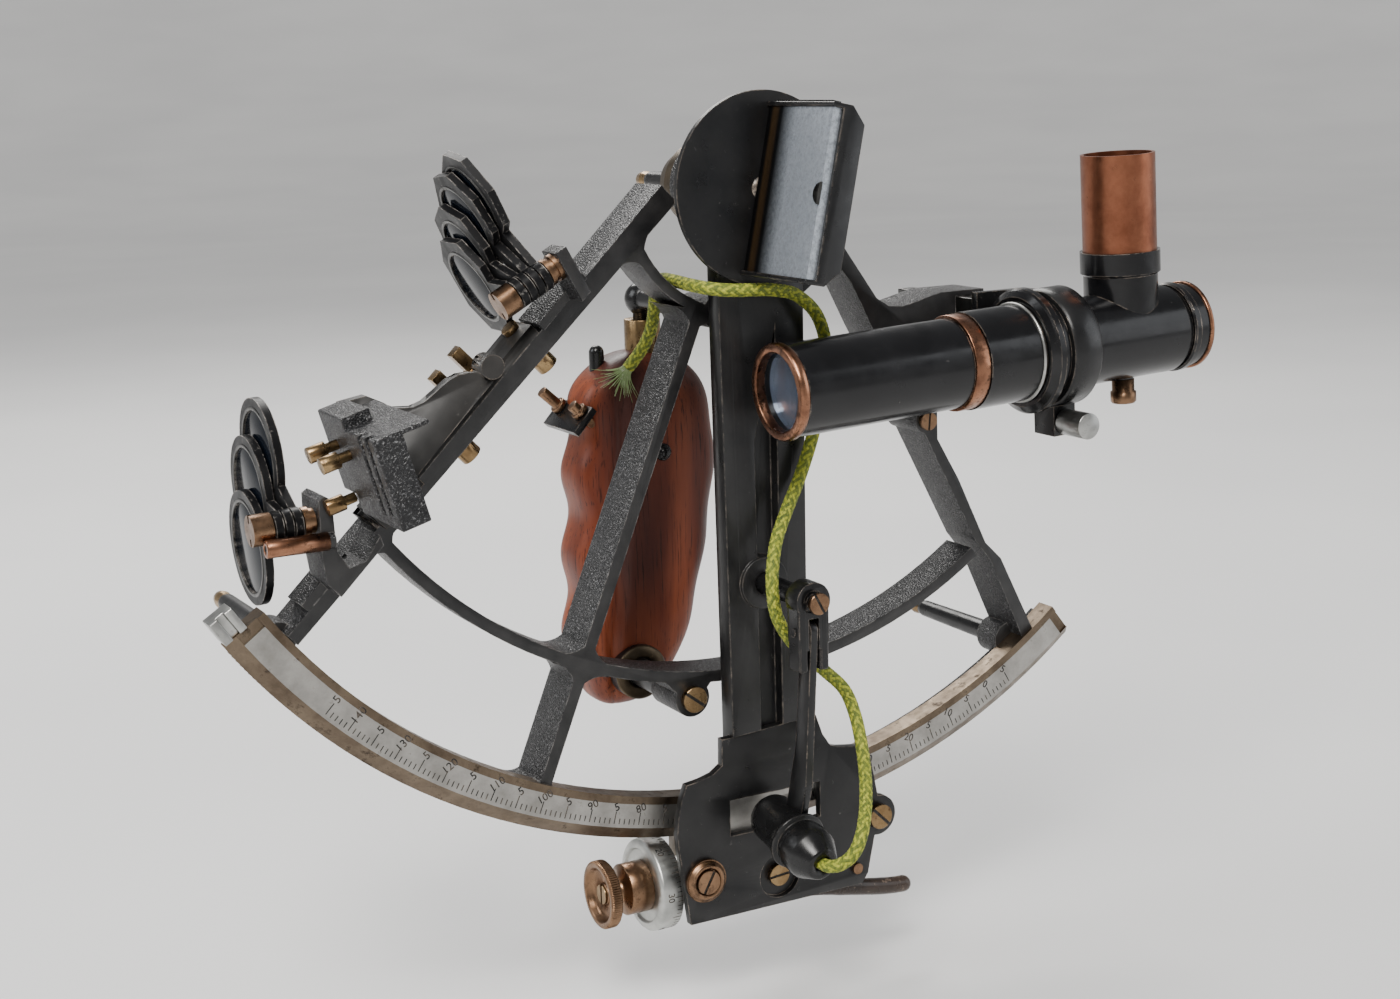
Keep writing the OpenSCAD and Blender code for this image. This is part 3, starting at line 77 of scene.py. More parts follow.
class Nodes:
    """A material's node tree, with short calls for the nodes that the finishes share."""

    def __init__(self, name: str) -> None:
        """Starts an empty material.

        Args:
            name: The material's name.
        """
        self.material = bpy.data.materials.new(name)
        self.material.use_nodes = True
        self.tree = self.material.node_tree
        self.shader = self.tree.nodes["Principled BSDF"]
        self.coords = self.tree.nodes.new("ShaderNodeTexCoord")

    def set(self, **sockets: float | tuple) -> None:
        """Sets the shader's own sockets, named with underscores for spaces."""
        for key, value in sockets.items():
            socket = self.shader.inputs[key.replace("_", " ")]
            if isinstance(value, tuple) and len(value) == 3:
                value = (*value, 1.0)
            socket.default_value = value

    def link(self, source: Socket, key: str) -> None:
        """Joins a socket to one of the shader's inputs."""
        self.tree.links.new(source, self.shader.inputs[key])

    def mapped(self, scale: tuple[float, float, float]) -> Socket:
        """Object coordinates stretched by a scale for each axis.

        Args:
            scale: Repeats for each metre along x, y and z.

        Returns:
            The stretched coordinates.
        """
        node = self.tree.nodes.new("ShaderNodeMapping")
        node.inputs["Scale"].default_value = scale
        self.tree.links.new(self.coords.outputs["Object"], node.inputs["Vector"])
        return node.outputs["Vector"]

    def noise(self, scale: float, detail: float = 4.0, rough: float = 0.55,
              vector: Socket | None = None) -> Socket:
        """Fractal noise on object coordinates or on the given vector."""
        node = self.tree.nodes.new("ShaderNodeTexNoise")
        node.inputs["Scale"].default_value = scale
        node.inputs["Detail"].default_value = detail
        node.inputs["Roughness"].default_value = rough
        self.tree.links.new(vector or self.coords.outputs["Object"], node.inputs["Vector"])
        return node.outputs["Fac"]

    def cells(self, scale: float) -> Socket:
        """Distance to the nearest edge in a pattern of irregular cells."""
        node = self.tree.nodes.new("ShaderNodeTexVoronoi")
        node.feature = "DISTANCE_TO_EDGE"
        node.inputs["Scale"].default_value = scale
        self.tree.links.new(self.coords.outputs["Object"], node.inputs["Vector"])
        return node.outputs["Distance"]

    def ramp(self, source: Socket, stops: list[tuple[float, Color]]) -> Socket:
        """Colours along a value.

        Args:
            source: The value that is read.
            stops: Places from 0 to 1 and their colours.

        Returns:
            The colour.
        """
        node = self.tree.nodes.new("ShaderNodeValToRGB")
        ramp = node.color_ramp
        while len(ramp.elements) < len(stops):
            ramp.elements.new(0.5)
        for element, (place, color) in zip(ramp.elements, stops):
            element.position = place
            element.color = (*color, 1.0)
        self.tree.links.new(source, node.inputs["Fac"])
        return node.outputs["Color"]

    def span(self, source: Socket, low: float, high: float,
             start: float = 0.0, end: float = 1.0) -> Socket:
        """Maps start..end of a value onto low..high, clamped."""
        node = self.tree.nodes.new("ShaderNodeMapRange")
        for key, value in (("From Min", start), ("From Max", end), ("To Min", low), ("To Max", high)):
            node.inputs[key].default_value = value
        self.tree.links.new(source, node.inputs["Value"])
        return node.outputs["Result"]

    def math(self, kind: str, a: Socket, b: Socket | float) -> Socket:
        """One arithmetic step of two values."""
        node = self.tree.nodes.new("ShaderNodeMath")
        node.operation = kind
        self.tree.links.new(a, node.inputs[0])
        if isinstance(b, (int, float)):
            node.inputs[1].default_value = b
        else:
            self.tree.links.new(b, node.inputs[1])
        return node.outputs[0]

    def times(self, a: Socket, b: Socket | float) -> Socket:
        """The product of two values."""
        return self.math("MULTIPLY", a, b)

    def mix(self, amount: Socket, a: Socket | Color,
            b: Socket | Color) -> Socket:
        """Blends two colours by a value."""
        node = self.tree.nodes.new("ShaderNodeMix")
        node.data_type = "RGBA"
        self.tree.links.new(amount, node.inputs["Factor"])
        for key, value in ((6, a), (7, b)):
            if isinstance(value, tuple):
                node.inputs[key].default_value = (*value, 1.0)
            else:
                self.tree.links.new(value, node.inputs[key])
        return node.outputs[2]

    def facing(self, axis: int, sign: float, start: float = 0.75, end: float = 0.92) -> Socket:
        """How squarely a surface faces along one axis of the object, 0 to 1."""
        split = self.tree.nodes.new("ShaderNodeSeparateXYZ")
        self.tree.links.new(self.coords.outputs["Normal"], split.inputs[0])
        return self.span(split.outputs[axis], 0.0, 1.0, sign * start, sign * end)

    def edges(self, radius: float = 0.0005, low: float = 0.015, high: float = 0.12) -> Socket:
        """How near a surface is to a sharp edge: the rounded normal's angle from the true one, 0 to 1,
        broken up by noise."""
        rounded = self.tree.nodes.new("ShaderNodeBevel")
        rounded.samples = 4
        rounded.inputs["Radius"].default_value = radius
        true = self.tree.nodes.new("ShaderNodeNewGeometry")
        dot = self.tree.nodes.new("ShaderNodeVectorMath")
        dot.operation = "DOT_PRODUCT"
        self.tree.links.new(rounded.outputs["Normal"], dot.inputs[0])
        self.tree.links.new(true.outputs["Normal"], dot.inputs[1])
        near = self.span(dot.outputs["Value"], 1.0, 0.0, 1 - high, 1 - low)
        return self.times(near, self.span(self.noise(330.0, 6.0, 0.7), 0.0, 1.0, 0.44, 0.64))

    def along(self, axis: int, low: float, high: float) -> Socket:
        """The object's own coordinate on one axis, from 0 at low to 1 at high, both in metres."""
        split = self.tree.nodes.new("ShaderNodeSeparateXYZ")
        self.tree.links.new(self.coords.outputs["Object"], split.inputs[0])
        return self.span(split.outputs[axis], 0.0, 1.0, low, high)

    def attribute(self, name: str) -> Socket:
        """A value stored on the mesh."""
        node = self.tree.nodes.new("ShaderNodeAttribute")
        node.attribute_name = name
        return node.outputs["Fac"]

    def bump(self, height: Socket, strength: float, depth: float) -> None:
        """Adds a relief under what the shader has already.

        Args:
            height: The relief's height.
            strength: How far the relief shows.
            depth: Height in metres for a value of 1.
        """
        node = self.tree.nodes.new("ShaderNodeBump")
        node.inputs["Strength"].default_value = strength
        node.inputs["Distance"].default_value = depth
        self.tree.links.new(height, node.inputs["Height"])
        before = self.shader.inputs["Normal"].links
        if before:
            self.tree.links.new(before[0].from_socket, node.inputs["Normal"])
        self.link(node.outputs["Normal"], "Normal")


@dataclass(frozen=True)
class CrackleFinish:
    """Thick black crackle paint with painted glints, light grey specks that stand for the sparkle of its grain, and
    plain grey paint on the faces that look to the front.
    """

    name: str = "crackle paint"
    grain: float = 1500.0
    front: bool = True

    def material(self) -> Material:
        """Builds the paint."""
        n = Nodes(self.name)
        blot = n.noise(90.0, 5.0)
        base = n.ramp(blot, [(0.3, (0.004, 0.004, 0.005)), (0.7, (0.012, 0.012, 0.013))])
        # painted glints: light grey specks in the black base colour stand for the sparkle of the crackle's grain
        specks = n.span(n.noise(self.grain, 3.0, 0.75), 0.0, 1.0, 0.57, 0.66)
        coat_and_painted_glints = n.mix(specks, base, (0.17, 0.17, 0.175))
        if self.front:
            front = n.facing(1, -1.0)
            smooth = n.ramp(n.noise(140.0, 6.0), [(0.35, (0.009, 0.009, 0.0095)), (0.65, (0.024, 0.023, 0.023))])
            color = n.mix(front, coat_and_painted_glints, smooth)
        else:
            front = n.span(blot, 0.0, 0.0)
            color = coat_and_painted_glints
        n.link(n.mix(n.edges(), color, (0.26, 0.245, 0.23)), "Base Color")
        n.link(n.span(n.noise(260.0), 0.28, 0.46), "Roughness")
        grain = n.math("ADD", n.span(n.cells(self.grain), 0.0, 1.0, 0.0, 0.25), n.noise(self.grain * 0.8, 3.0))
        n.bump(n.times(grain, n.span(front, 1.0, 0.04)), 0.9, 0.0002)
        n.set(Specular_IOR_Level=0.4)
        return n.material


@dataclass(frozen=True)
class PaintFinish:
    """Smooth black paint with dust, rubbed places and fine scratches."""

    name: str
    low: Color = (0.0035, 0.0035, 0.004)
    high: Color = (0.011, 0.011, 0.0115)
    gloss: tuple[float, float] = (0.22, 0.42)
    rub: Color = (0.10, 0.095, 0.09)
    rubbed: float = 0.66
    bare: Color = (0.40, 0.33, 0.27)
    shine: float = 0.38

    def material(self) -> Material:
        """Builds the paint."""
        n = Nodes(self.name)
        base = n.ramp(n.noise(70.0, 6.0, 0.6), [(0.3, self.low), (0.72, self.high)])
        rub = n.span(n.noise(420.0, 8.0, 0.72), 0.0, 0.8, self.rubbed, self.rubbed + 0.08)
        edge = n.edges()
        n.link(n.mix(edge, n.mix(rub, base, self.rub), self.bare), "Base Color")
        n.link(n.times(edge, 2 * self.shine), "Metallic")
        n.link(n.span(n.noise(160.0, 5.0), self.gloss[0], self.gloss[1], 0.3, 0.7), "Roughness")
        n.bump(n.noise(700.0, 3.0), 0.12, 0.00012)
        n.bump(n.noise(35.0, 2.0), 0.15, 0.0004)
        n.set(Specular_IOR_Level=self.shine)
        return n.material


@dataclass(frozen=True)
class MetalFinish:
    """Bare metal with stains, polish that varies and fine lines of wear."""

    name: str
    low: Color
    high: Color
    stain: Color
    gloss: tuple[float, float] = (0.22, 0.42)
    stained: float = 0.58
    lines: tuple[float, float, float] = (900.0, 900.0, 120.0)
    metallic: float = 1.0

    def material(self) -> Material:
        """Builds the metal."""
        n = Nodes(self.name)
        base = n.ramp(n.noise(120.0, 6.0, 0.62), [(0.32, self.low), (0.68, self.high)])
        stain = n.span(n.noise(240.0, 7.0, 0.7), 0.0, 0.85, self.stained, self.stained + 0.12)
        n.link(n.mix(stain, base, self.stain), "Base Color")
        rough = n.span(n.noise(300.0, 5.0), self.gloss[0], self.gloss[1], 0.3, 0.7)
        n.link(n.math("ADD", rough, n.times(stain, 0.18)), "Roughness")
        n.bump(n.noise(1.0, 3.0, 0.6, n.mapped(self.lines)), 0.14, 0.0001)
        n.bump(n.noise(160.0, 4.0), 0.10, 0.0003)
        n.set(Metallic=self.metallic)
        return n.material


@dataclass(frozen=True)
class WoodFinish:
    """Polished red-brown wood with fine pores along its length, a painted shade band on its left side and a darker
    band across its upper part.
    """

    name: str = "grip wood"

    def material(self) -> Material:
        """Builds the wood."""
        n = Nodes(self.name)
        drift = n.noise(1.0, 4.0, 0.5, n.mapped((70.0, 70.0, 9.0)))
        color = n.ramp(drift, [(0.28, (0.035, 0.008, 0.005)), (0.45, (0.150, 0.030, 0.012)),
                               (0.58, (0.270, 0.062, 0.022)), (0.72, (0.120, 0.026, 0.012))])
        pores = n.span(n.noise(1.0, 3.0, 0.65, n.mapped((1500.0, 1500.0, 60.0))), 0.0, 0.75, 0.56, 0.66)
        # painted shade: a dark plum band on the left of the handle's middle, fading out towards its foot
        painted_shade_band = n.times(n.along(0, -0.0270, -0.0225), n.along(0, -0.0060, -0.0150))
        painted_shade_band = n.times(painted_shade_band, n.along(2, -0.150, -0.110))
        # a darker brown band across the handle's upper part, right of its middle
        shoulder = n.times(n.along(2, -0.078, -0.058), n.along(0, -0.014, 0.0))
        color = n.mix(n.times(painted_shade_band, 0.8), color, (0.030, 0.014, 0.014))
        color = n.mix(n.times(shoulder, 0.65), color, (0.035, 0.014, 0.010))
        n.link(n.mix(pores, color, (0.014, 0.004, 0.003)), "Base Color")
        n.link(n.span(n.noise(90.0), 0.34, 0.50), "Roughness")
        n.bump(n.times(pores, -1.0), 0.25, 0.0001)
        n.bump(n.noise(60.0, 3.0), 0.12, 0.0006)
        n.set(Coat_Weight=0.06, Coat_Roughness=0.2, Specular_IOR_Level=0.26)
        return n.material


@dataclass(frozen=True)
class GlassFinish:
    """Clear or dyed glass."""

    name: str
    tint: Color
    through: float = 0.85
    rough: float = 0.02
    shine: float = 0.5

    def material(self) -> Material:
        """Builds the glass."""
        n = Nodes(self.name)
        n.set(Base_Color=self.tint, Roughness=self.rough, Transmission_Weight=self.through, IOR=1.5,
              Specular_IOR_Level=self.shine)
        n.bump(n.noise(25.0, 2.0), 0.04, 0.0004)
        return n.material


@dataclass(frozen=True)
class MirrorFinish:
    """Silvered glass with dust or a haze of fine specks, and where asked a painted reflection: a dark band with a
    brown stripe near its back edge.
    """

    name: str = "silvered glass"
    clear: Color = (0.80, 0.83, 0.85)
    dusty: Color = (0.42, 0.42, 0.40)
    rough: tuple[float, float] = (0.03, 0.25)
    metallic: float = 1.0
    painted_reflection: bool = False

    def material(self) -> Material:
        """Builds the mirror."""
        n = Nodes(self.name)
        dust = n.span(n.noise(700.0, 8.0, 0.8), 0.0, 1.0, 0.40, 0.66)
        color = n.mix(dust, self.clear, self.dusty)
        if self.painted_reflection:
            # painted reflection: a dark band with a brown stripe across the glass near the frame, fading into the
            # mirror's own colour
            across = n.along(1, -0.0112, -0.0430)
            band = n.ramp(across, [(0.05, (0.006, 0.006, 0.007)), (0.09, (0.085, 0.050, 0.022)),
                                   (0.15, (0.060, 0.036, 0.018)), (0.19, (0.006, 0.006, 0.007)),
                                   (0.24, (0.010, 0.011, 0.013))])
            color = n.mix(n.span(across, 0.0, 1.0, 0.22, 0.46), band, color)
        n.link(color, "Base Color")
        n.link(n.span(dust, self.rough[0], self.rough[1]), "Roughness")
        n.set(Metallic=self.metallic)
        return n.material


@dataclass(frozen=True)
class BraidFinish:
    """Two colours of woven yarn, told apart by values on the cord's mesh, with painted shade in the low places
    between the strands.
    """

    name: str = "braided yarn"

    def material(self) -> Material:
        """Builds the yarn."""
        n = Nodes(self.name)
        height = n.attribute("braid_height")
        strand = n.attribute("braid_strand")
        bright = n.mix(n.span(n.noise(900.0, 4.0), 0.0, 1.0, 0.35, 0.65), (0.23, 0.27, 0.013), (0.46, 0.47, 0.042))
        dull = n.mix(n.span(n.noise(900.0, 4.0), 0.0, 1.0, 0.35, 0.65), (0.075, 0.11, 0.009), (0.19, 0.23, 0.021))
        yarn = n.mix(n.span(strand, 0.0, 1.0, 0.35, 0.65), dull, bright)
        # painted shade: the low places between the strands are darkened
        n.link(n.mix(n.span(height, 0.0, 1.0, 0.05, 0.6), (0.020, 0.030, 0.003), yarn), "Base Color")
        n.bump(n.noise(3500.0, 3.0), 0.35, 0.00015)
        n.set(Roughness=0.7, Sheen_Weight=0.1, Sheen_Roughness=0.4)
        return n.material


@dataclass(frozen=True)
class FloorFinish:
    """The studio's plain pale floor."""

    name: str = "studio floor"

    def material(self) -> Material:
        """Builds the floor's paint."""
        n = Nodes(self.name)
        n.link(n.ramp(n.noise(3.0, 2.0), [(0.3, (0.70, 0.70, 0.70)), (0.7, (0.76, 0.76, 0.755))]), "Base Color")
        n.set(Roughness=0.85)
        return n.material


class Finish(Enum):
    """Every finish of the instrument and its floor."""

    CRACKLE = CrackleFinish()
    ROUGH_BLACK = CrackleFinish("cast black paint", 1300.0, False)
    BLACK = PaintFinish("smooth black paint")
    PLATE = PaintFinish("rubbed black paint", (0.0045, 0.0045, 0.005), (0.015, 0.0145, 0.0145), (0.26, 0.44),
                        (0.10, 0.095, 0.09), 0.64)
    SHADE = PaintFinish("shade paint", (0.0035, 0.0035, 0.004), (0.012, 0.012, 0.013), (0.30, 0.5),
                        (0.16, 0.15, 0.14), 0.60, (0.46, 0.42, 0.38), 0.16)
    GREY_PAINT = PaintFinish("worn grey paint", (0.016, 0.0155, 0.015), (0.042, 0.040, 0.038), (0.30, 0.5),
                             (0.09, 0.085, 0.08), 0.62)
    LEVER = PaintFinish("rubbed bronze paint", (0.016, 0.011, 0.009), (0.060, 0.040, 0.030), (0.18, 0.36),
                        (0.26, 0.19, 0.14), 0.57)
    TUBE = PaintFinish("satin black paint", (0.003, 0.003, 0.0035), (0.008, 0.008, 0.009), (0.14, 0.28))
    MOULDING = PaintFinish("black moulding", (0.004, 0.004, 0.004), (0.010, 0.010, 0.0105), (0.20, 0.32),
                           (0.05, 0.05, 0.05), 0.74)
    LIMB = MetalFinish("brown brass", (0.085, 0.062, 0.044), (0.20, 0.155, 0.110), (0.035, 0.025, 0.019),
                       (0.34, 0.54), 0.56)
    AGED_SILVER = MetalFinish("aged silver", (0.27, 0.26, 0.24), (0.44, 0.425, 0.40), (0.15, 0.135, 0.115),
                              (0.36, 0.50), 0.60)
    DARK_STEEL = MetalFinish("browned steel", (0.035, 0.035, 0.034), (0.10, 0.098, 0.093), (0.020, 0.017, 0.015),
                             (0.24, 0.42), 0.60)
    SILVER = MetalFinish("satin silver", (0.36, 0.365, 0.35), (0.58, 0.585, 0.56), (0.20, 0.185, 0.16),
                         (0.32, 0.46), 0.64)
    STEEL = MetalFinish("grey steel", (0.26, 0.26, 0.25), (0.52, 0.52, 0.50), (0.12, 0.10, 0.08), (0.26, 0.44))
    BRASS = MetalFinish("handled brass", (0.17, 0.105, 0.050), (0.40, 0.275, 0.140), (0.075, 0.042, 0.024),
                        (0.20, 0.38), 0.54)
    BRONZE = MetalFinish("dark bronze", (0.050, 0.038, 0.026), (0.130, 0.100, 0.066), (0.24, 0.17, 0.09),
                         (0.32, 0.5), 0.66)
    REDDISH = MetalFinish("reddish brass", (0.13, 0.074, 0.043), (0.33, 0.200, 0.118), (0.050, 0.029, 0.020),
                          (0.22, 0.42), 0.54)
    RING = MetalFinish("worn copper ring", (0.10, 0.045, 0.028), (0.42, 0.205, 0.120), (0.030, 0.018, 0.014),
                       (0.20, 0.38), 0.52)
    COPPER = MetalFinish("browned copper", (0.20, 0.070, 0.038), (0.34, 0.135, 0.075), (0.085, 0.032, 0.020),
                         (0.27, 0.42), 0.63, (60.0, 60.0, 500.0))
    WOOD = WoodFinish()
    LENS = GlassFinish("coated lens", (0.55, 0.66, 0.86), 0.9)
    DARK_GLASS = GlassFinish("dark glass", (0.004, 0.006, 0.010), 0.0, 0.12, 0.12)
    MIRROR = MirrorFinish()
    HAZE = MirrorFinish("hazed silvering", (0.60, 0.65, 0.71), (0.20, 0.22, 0.25), (0.30, 0.55), 0.8, True)
    BRAID = BraidFinish()
    YARN = PaintFinish("loose yarn", (0.17, 0.27, 0.085), (0.50, 0.58, 0.33), (0.6, 0.8), (0.62, 0.66, 0.50),
                       0.55, (0.35, 0.45, 0.20), 0.1)
    INK = PaintFinish("black engraving", (0.008, 0.008, 0.008), (0.012, 0.012, 0.012), (0.6, 0.8), (0.02, 0.02, 0.02))
    FLOOR = FloorFinish()


class Wardrobe:
    """Makes each material once."""

    def __init__(self) -> None:
        """Starts with no materials."""
        self.made: dict[Finish, Material] = {}

    def get(self, finish: Finish) -> Material:
        """The material of a finish, made on its first use."""
        if finish not in self.made:
            self.made[finish] = finish.value.material()
        return self.made[finish]


WARDROBE = Wardrobe()


# ---------------------------------------------------------------- mesh building


def show(name: str, data: bpy.types.ID) -> Object:
    """A new object in the scene, at the origin and unturned."""
    obj = bpy.data.objects.new(name, data)
    bpy.context.scene.collection.objects.link(obj)
    return obj


def placed(at: Point, degrees: float = 0.0, axis: str = "Z") -> Matrix:
    """Moves to a place in millimetres after a turn about one axis."""
    return Matrix.Translation(Vector(at) * MM) @ Matrix.Rotation(math.radians(degrees), 4, axis)


def make_mesh(name: str, points: Array, faces: Array | list, finish: Finish, smooth: bool = True) -> Object:
    """A mesh object from arrays.

    Args:
        name: The object's name.
        points: Places in metres, one row each.
        faces: Corner numbers, one row or list a face.
        finish: Its finish.
        smooth: Whether it is shaded smooth.

    Returns:
        The new object at the origin.
    """
    mesh = bpy.data.meshes.new(name)
    mesh.from_pydata(np.asarray(points, float).tolist(), [], [list(map(int, f)) for f in faces])
    mesh.materials.append(WARDROBE.get(finish))
    if smooth:
        mesh.polygons.foreach_set("use_smooth", np.ones(len(mesh.polygons), bool))
    mesh.update()
    return show(name, mesh)


def circle(count: int) -> Array:
    """Evenly spaced angles of a full turn in radians, without the last."""
    return np.linspace(0, 2 * np.pi, count, endpoint=False)


def tube_faces(rows: int, around: int, capped: bool = True) -> list:
    """Faces of a grid closed around its second direction: each quad joins a row to the next,
    and the two end rows are closed by one face each."""
    i, j = np.meshgrid(np.arange(rows - 1), np.arange(around), indexing="ij")
    k = (j + 1) % around
    quads = np.stack([i * around + j, i * around + k, (i + 1) * around + k, (i + 1) * around + j], -1).reshape(-1, 4)
    faces = quads.tolist()
    if capped:
        faces.append(list(range(around))[::-1])
        faces.append(list(range((rows - 1) * around, rows * around)))
    return faces


def frames_along(line: Array) -> tuple[Array, Array]:
    """Two unit vectors across a path at each of its points: the first is the path's direction crossed
    with a fixed slanting vector, the second completes the right angle."""
    tangent = np.gradient(line, axis=0)
    tangent /= np.linalg.norm(tangent, axis=1, keepdims=True)
    first = np.cross(tangent, np.array([0.53, 0.85, 0.05]))
    first /= np.linalg.norm(first, axis=1, keepdims=True)
    return first, np.cross(tangent, first)


def tube_points(line: Array, radius: Array, angle: Array) -> Array:
    """Points around a path: each is the path's point plus the radius times cos(angle) of the first
    vector across it and sin(angle) of the second, with one radius for each point or each angle there."""
    first, second = frames_along(line)
    ring = first[:, None] * np.cos(angle)[None, :, None] + second[:, None] * np.sin(angle)[None, :, None]
    return (line[:, None] + radius[..., None] * ring).reshape(-1, 3)


def revolve(name: str, profile: list[tuple[float, float]], axis: Matrix, finish: Finish,
            around: int = 96, wave: float = 0.0, teeth: int = 0) -> Object:
    """A turned piece: an outline of (radius, place) carried around an axis, its radius lessened by a
    raised cosine of the angle where it is milled. An outline that starts off the axis closes as a ring.

    Args:
        name: The object's name.
        profile: Radius and place along the axis, in millimetres.
        axis: Turns the axis z into its place.
        finish: Its finish.
        around: Steps around.
        wave: Depth of the milling in millimetres, for radii over 90% of the largest.
        teeth: How many milled teeth there are around.

    Returns:
        The new object.
    """
    ring = profile[0][0] > 0
    out = np.array([*profile, profile[0]] if ring else profile, float)
    angle = circle(around)
    radius = out[:, :1] * np.ones(around)
    if teeth:
        milled = (out[:, :1] > 0.9 * out[:, 0].max()) * wave
        radius = radius - milled * (0.5 - 0.5 * np.cos(teeth * angle))
    points = np.stack([radius * np.cos(angle), radius * np.sin(angle), out[:, 1:] * np.ones(around)], -1)
    points = points.reshape(-1, 3) * MM
    obj = make_mesh(name, points, tube_faces(len(out), around, capped=not ring), finish)
    obj.data.transform(axis)
    tidy_normals(obj)
    return obj


def tidy_normals(obj: Object) -> None:
    """Merges doubles and turns all faces outwards."""
    bm = bmesh.new()
    bm.from_mesh(obj.data)
    bmesh.ops.remove_doubles(bm, verts=bm.verts, dist=MERGE)
    bmesh.ops.recalc_face_normals(bm, faces=bm.faces)
    bm.to_mesh(obj.data)
    bm.free()


def cube_faces(count: int) -> Array:
    """Faces of a number of blocks with eight points each, in the order of CUBE."""
    return (CUBE_FACES[None] + 8 * np.arange(count)[:, None, None]).reshape(-1, 4)


def boxes(name: str, centers: Array, sizes: Array, turns: Array, finish: Finish) -> Object:
    """Many small blocks in one mesh: each is a unit cube scaled, turned about y and moved.

    Args:
        name: The object's name.
        centers: Middle of each block in metres.
        sizes: Size of each block along its own x, y and z in metres.
        turns: Turn of each block about y in radians.
        finish: Their finish.

    Returns:
        The new object.
    """
    local = CUBE[None] * np.asarray(sizes)[:, None]
    c, s = np.cos(turns)[:, None], np.sin(turns)[:, None]
    x, y, z = np.moveaxis(local, -1, 0)
    world = np.stack([x * c + z * s, y, -x * s + z * c], -1)
    world = world + np.asarray(centers)[:, None]
    return make_mesh(name, world.reshape(-1, 3), cube_faces(len(world)), finish, smooth=False)


def lettering(name: str, words: list[tuple[str, Matrix]], height: float, finish: Finish) -> Object:
    """Plain numbers as one flat raised mesh.

    Args:
        name: The object's name.
        words: Each number and the matrix that puts its middle in place, from the plane z = 0.
        height: Height of the digits in metres.
        finish: Their finish.

    Returns:
        The new object.
    """
    joined = bmesh.new()
    for word, place in words:
        curve = bpy.data.curves.new("digits", "FONT")
        curve.body, curve.size = word, height * DIGIT_SIZE
        curve.extrude, curve.offset = DIGIT_RAISE, DIGIT_SWELL
        curve.align_x, curve.align_y = "CENTER", "CENTER"
        curve.resolution_u = 3
        holder = show("digits", curve)
        bpy.context.view_layer.update()
        flat = bpy.data.meshes.new_from_object(holder.evaluated_get(bpy.context.evaluated_depsgraph_get()))
        flat.transform(place)
        joined.from_mesh(flat)
        bpy.data.objects.remove(holder)
        bpy.data.meshes.remove(flat)
    mesh = bpy.data.meshes.new(name)
    bmesh.ops.remove_doubles(joined, verts=joined.verts, dist=MERGE)
    joined.to_mesh(mesh)
    joined.free()
    mesh.materials.clear()
    mesh.materials.append(WARDROBE.get(finish))
    return show(name, mesh)


def eased(node: str, body: str, slot: str, finish: Finish, width: float = 0.25,
          steps: int = 2) -> Object:
    """A copy of a CAD node with its sharp edges eased by a small bevel.

    Args:
        node: The CAD node.
        body: The body that it rides on.
        slot: The record's slot of its finish; not used.
        finish: Its finish.
        width: Width of the bevel in millimetres.
        steps: Steps across the bevel.

    Returns:
        The copy, which stands for the node.
    """
    obj = show(f"{node}_eased", bpy.data.objects[node].data.copy())
    bm = bmesh.new()
    bm.from_mesh(obj.data)
    bmesh.ops.remove_doubles(bm, verts=bm.verts, dist=CAD_MERGE)
    bmesh.ops.dissolve_limit(bm, angle_limit=FLAT, verts=bm.verts, edges=bm.edges)
    bm.to_mesh(obj.data)
    bm.free()
    obj.data.materials.clear()
    obj.data.materials.append(WARDROBE.get(finish))
    obj.data.polygons.foreach_set("material_index", np.zeros(len(obj.data.polygons), np.int32))
    obj.data.polygons.foreach_set("use_smooth", np.ones(len(obj.data.polygons), bool))
    bevel = obj.modifiers.new("eased edges", "BEVEL")
    bevel.width = width * MM
    bevel.segments = steps
    bevel.limit_method = "ANGLE"
    bevel.angle_limit = SHARP
    bevel.harden_normals = True
    bevel.use_clamp_overlap = True
    return settle(obj, body, slot, node)


def settle(obj: Object, body: str, slot: str, *nodes: str) -> Object:
    """Rides a piece on its body and hides the CAD nodes that it stands for."""
    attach(obj, body)
    if nodes:
        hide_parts(*nodes)
    log.info("piece %s on %s", obj.name, body)
    return obj


def slot_halves(name: str, radius: float, gap: float, low: float, high: float, place: Matrix,
                finish: Finish) -> Object:
    """The raised halves of a slotted screw head: two half discs that stand either side of the slot.

    Args:
        name: The object's name.
        radius: Radius of the head in millimetres.
        gap: Half the slot's width in millimetres.
        low: Start along the axis in millimetres.
        high: End along the axis in millimetres.
        place: Puts the axis z in place.
        finish: Their finish.

    Returns:
        The new object.
    """
    start = math.asin(gap / radius)
    a = np.linspace(start, math.pi - start, 24)
    rim = np.stack([radius * np.cos(a), radius * np.sin(a)], -1)
    both = []
    for sign in (1, -1):
        for scale, level in ((1.0, low), (1.0, high - 0.15), (0.95, high)):
            both.append(np.column_stack([sign * rim * [scale, 1] + [0, sign * (1 - scale) * -gap],
                                         np.full(len(a), level)]))
    faces = tube_faces(3, len(a))
    points = np.vstack(both) * MM
    obj = make_mesh(name, points, faces + [[c + 3 * len(a) for c in f] for f in faces], finish, smooth=False)
    obj.data.transform(place)
    tidy_normals(obj)
    return obj


def on_face(x: float, z: float, y: float, turn: float) -> Matrix:
    """Puts the plane z = 0 on a face that looks to the front, at a place in millimetres, turned by degrees."""
    return placed((x, y, z), -turn, "Y") @ Matrix.Rotation(math.radians(90), 4, "X")


# ---------------------------------------------------------------- the instrument


